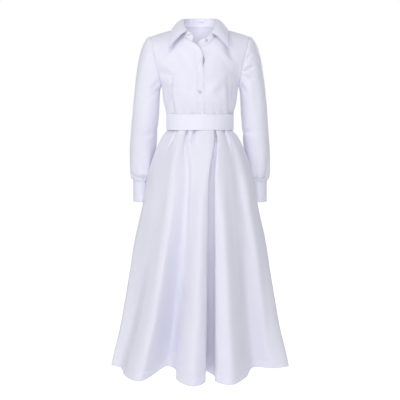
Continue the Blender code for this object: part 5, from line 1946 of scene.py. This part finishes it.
@dataclass
class Belt:
    """The sash, its ends overlapping at the back over two hooks."""

    torso: Torso
    wardrobe: Wardrobe
    top: float = -315.0
    bottom: float = -375.0
    out: float = 4.1
    start: float = 254.0
    overlap: float = 32.0
    lift: float = 2.9
    creases: tuple[Crease, ...] = (
        Crease("crease at the right side", (62.0, -352.0), (72.0, -355.0), (92.0, -350.0), 4.0, 1.2),
        Crease("slack beside it", (86.0, -330.0), (110.0, -341.0), (150.0, -346.0), 8.0, -0.7),
        Crease("crease at the left side", (640.0, -344.0), (655.0, -350.0), (676.0, -346.0), 5.0, 0.9),
        Crease("bend in front", (330.0, -322.0), (352.0, -342.0), (360.0, -368.0), 14.0, 0.8),
    )

    def band(self) -> Surface:
        """The sash: a band round the waist's oval, its outer end lifted by a smooth step."""
        share = np.linspace(0.0, 1.0, 260)
        angle = np.radians(self.start + (360.0 + self.overlap) * share)
        out = self.out + self.lift * lapped(share, self.overlap)
        flat = self.torso.waist(angle, out)
        down = spaced(self.top - self.bottom, 4.0, edge=(0.8, 1.8, 3.0))
        heights = self.top + (self.bottom - self.top) * down
        points = np.stack(
            np.broadcast_arrays(flat[None, :, 0], flat[None, :, 1], heights[:, None]), axis=-1
        )
        form = Surface(points)
        away = np.minimum(down, 1.0 - down)[:, None] * (self.top - self.bottom)
        arc = np.broadcast_to(form.across()[:1], points.shape[:2])
        rise = -0.35 * bell(away - 2.6, 0.9) * np.ones_like(arc)
        slack = creased(self.creases, arc, points[..., 2]) + ripple(arc, points[..., 2], 150.0, 0.5)
        rise += slack * ease(away / 8.0)
        level = self.torso.levels[0]
        outward = points - np.array([0.0, level.middle, 0.0])
        outward = unit(outward / np.array([level.half_width**2, level.front**2, math.inf]))
        return Surface(points + outward * rise[..., None])

    def build(self) -> None:
        """Adds the sash with its edge stitches, and gives the two hooks their steel."""
        band = self.band()
        add_cloth("cloth_belt", band, self.wardrobe.sash, thick=1.4)
        outward = level_out(band.points, 0.0, self.torso.levels[0].middle)
        lines = [Line(band.points[r], outward[r]) for r in (3, len(band.points) - 4)]
        lines.append(Line(band.points[4:-4, -3], outward[4:-4, -3]))
        Stitching(self.wardrobe.thread, lift=0.72, pitch=3.4).sew("belt_stitches", lines)
        for word in ("upper", "lower"):
            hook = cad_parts[f"belt_hook_{word}"]
            hook.material_slots[0].material = self.wardrobe.steel
            log.info("belt_hook_%s keeps its solid, in steel", word)


@dataclass
class Studio:
    """The camera at the photograph's angle, a pale floor and soft lights."""

    camera_place: tuple[float, float, float] = (0.0, -2.4, -0.3318)
    pitch: float = 0.0776
    lens: float = 57.62
    shift: float = -0.08
    floor_z: float = -1.75
    floor_glow: float = 0.2
    floor_seen: float = 0.75

    def camera(self) -> None:
        """Places the camera."""
        data = bpy.data.cameras.new("camera")
        data.lens = self.lens
        data.sensor_width = 36.0
        data.shift_y = self.shift
        camera = bpy.data.objects.new("camera", data)
        camera.location = self.camera_place
        camera.rotation_euler = (math.pi / 2 - self.pitch, 0.0, 0.0)
        bpy.context.scene.collection.objects.link(camera)
        bpy.context.scene.camera = camera

    def light(
        self,
        name: str,
        place: tuple[float, float, float],
        towards: tuple[float, float, float],
        size: float,
        power: float,
        colour: tuple[float, float, float],
    ) -> None:
        """Adds a square soft light.

        Args:
            name: its name.
            place: where it stands.
            towards: the point that it faces.
            size: its side in metres.
            power: its power in watts.
            colour: its colour.
        """
        data = bpy.data.lights.new(name, "AREA")
        data.shape = "SQUARE"
        data.size = size
        data.energy = power
        data.color = colour
        lamp = bpy.data.objects.new(name, data)
        lamp.location = place
        lamp.rotation_euler = (Vector(towards) - Vector(place)).to_track_quat("-Z", "Y").to_euler()
        lamp.visible_camera = False
        bpy.context.scene.collection.objects.link(lamp)

    def floor(self) -> None:
        """A wide pale floor of faintly mottled paper."""
        mesh = bpy.data.meshes.new("floor")
        size = 14.0
        corners = [(-size, -size), (size, -size), (size, size), (-size, size)]
        mesh.from_pydata([(x, y, self.floor_z) for x, y in corners], [], [(0, 1, 2, 3)])
        material, nodes, links, shader = fresh_material("floor")
        shader.inputs["Base Color"].default_value = (0.9, 0.9, 0.9, 1.0)
        shader.inputs["Roughness"].default_value = 0.9
        shader.inputs["Emission Color"].default_value = (1.0, 1.0, 1.0, 1.0)
        path = nodes.new("ShaderNodeLightPath")
        ends = (self.floor_glow, self.floor_seen)
        ranged(nodes, links, path.outputs["Is Camera Ray"], ends, shader.inputs["Emission Strength"])
        places = nodes.new("ShaderNodeTexCoord")
        grain = noise(nodes, links, places.outputs["Object"], scale=40.0, detail=3.0)
        relief = bump(nodes, links, grain.outputs["Fac"], strength=0.1, distance=0.001)
        links.new(relief.outputs["Normal"], shader.inputs["Normal"])
        mesh.materials.append(material)
        piece = bpy.data.objects.new("floor", mesh)
        bpy.context.scene.collection.objects.link(piece)
        piece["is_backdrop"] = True

    def sky(self) -> None:
        """An even pale surround, seen as white and giving a softer fill."""
        world = bpy.data.worlds.new("surround")
        world.use_nodes = True
        nodes, links = world.node_tree.nodes, world.node_tree.links
        background = nodes["Background"]
        background.inputs["Color"].default_value = (0.95, 0.95, 1.0, 1.0)
        background.inputs["Strength"].default_value = 0.39
        seen = nodes.new("ShaderNodeBackground")
        seen.inputs["Color"].default_value = (1.0, 1.0, 1.0, 1.0)
        seen.inputs["Strength"].default_value = 1.0
        path = nodes.new("ShaderNodeLightPath")
        mix = nodes.new("ShaderNodeMixShader")
        links.new(path.outputs["Is Camera Ray"], mix.inputs[0])
        links.new(background.outputs[0], mix.inputs[1])
        links.new(seen.outputs[0], mix.inputs[2])
        links.new(mix.outputs[0], nodes["World Output"].inputs["Surface"])
        bpy.context.scene.world = world

    def build(self) -> None:
        """Sets the camera, the floor, the surround and the lights."""
        self.camera()
        self.floor()
        self.sky()
        self.light("key", (-1.9, -1.9, 0.9), (0.0, 0.0, -0.5), 1.1, 16.0, (1.0, 0.99, 0.98))
        self.light("front", (0.0, -3.0, -0.6), (0.0, 0.0, -0.6), 1.2, 22.0, (0.965, 0.975, 1.0))
        self.light("top", (-0.2, -2.2, 2.5), (0.0, 0.0, -0.5), 1.1, 27.0, (0.98, 0.98, 1.0))
        self.light("neck", (0.0, -0.035, -0.045), (0.0, 0.07, -0.04), 0.05, 0.05, (0.98, 0.98, 1.0))
        self.light("back", (1.6, 2.6, 0.9), (0.0, 0.0, -0.5), 1.8, 24.0, (0.97, 0.98, 1.0))
        view = bpy.context.scene.view_settings
        view.view_transform = "Standard"
        view.look = "None"


def corners() -> list[list[float]]:
    """The box of all that is shown, as two plain lists."""
    return [list(map(float, corner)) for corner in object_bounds()]


def main() -> None:
    """Builds the dress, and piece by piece."""
    logging.basicConfig(level=logging.INFO, format="%(name)s: %(message)s")
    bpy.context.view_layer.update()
    wardrobe = Wardrobe()
    torso = Torso()
    Bodice(torso, wardrobe).build()
    Collar(torso, wardrobe).build()
    for side in Side:
        Sleeve(torso, wardrobe, side).build()
    Skirt(torso, wardrobe).build()
    Belt(torso, wardrobe).build()
    Studio().build()


if __name__ == "__main__":
    main()
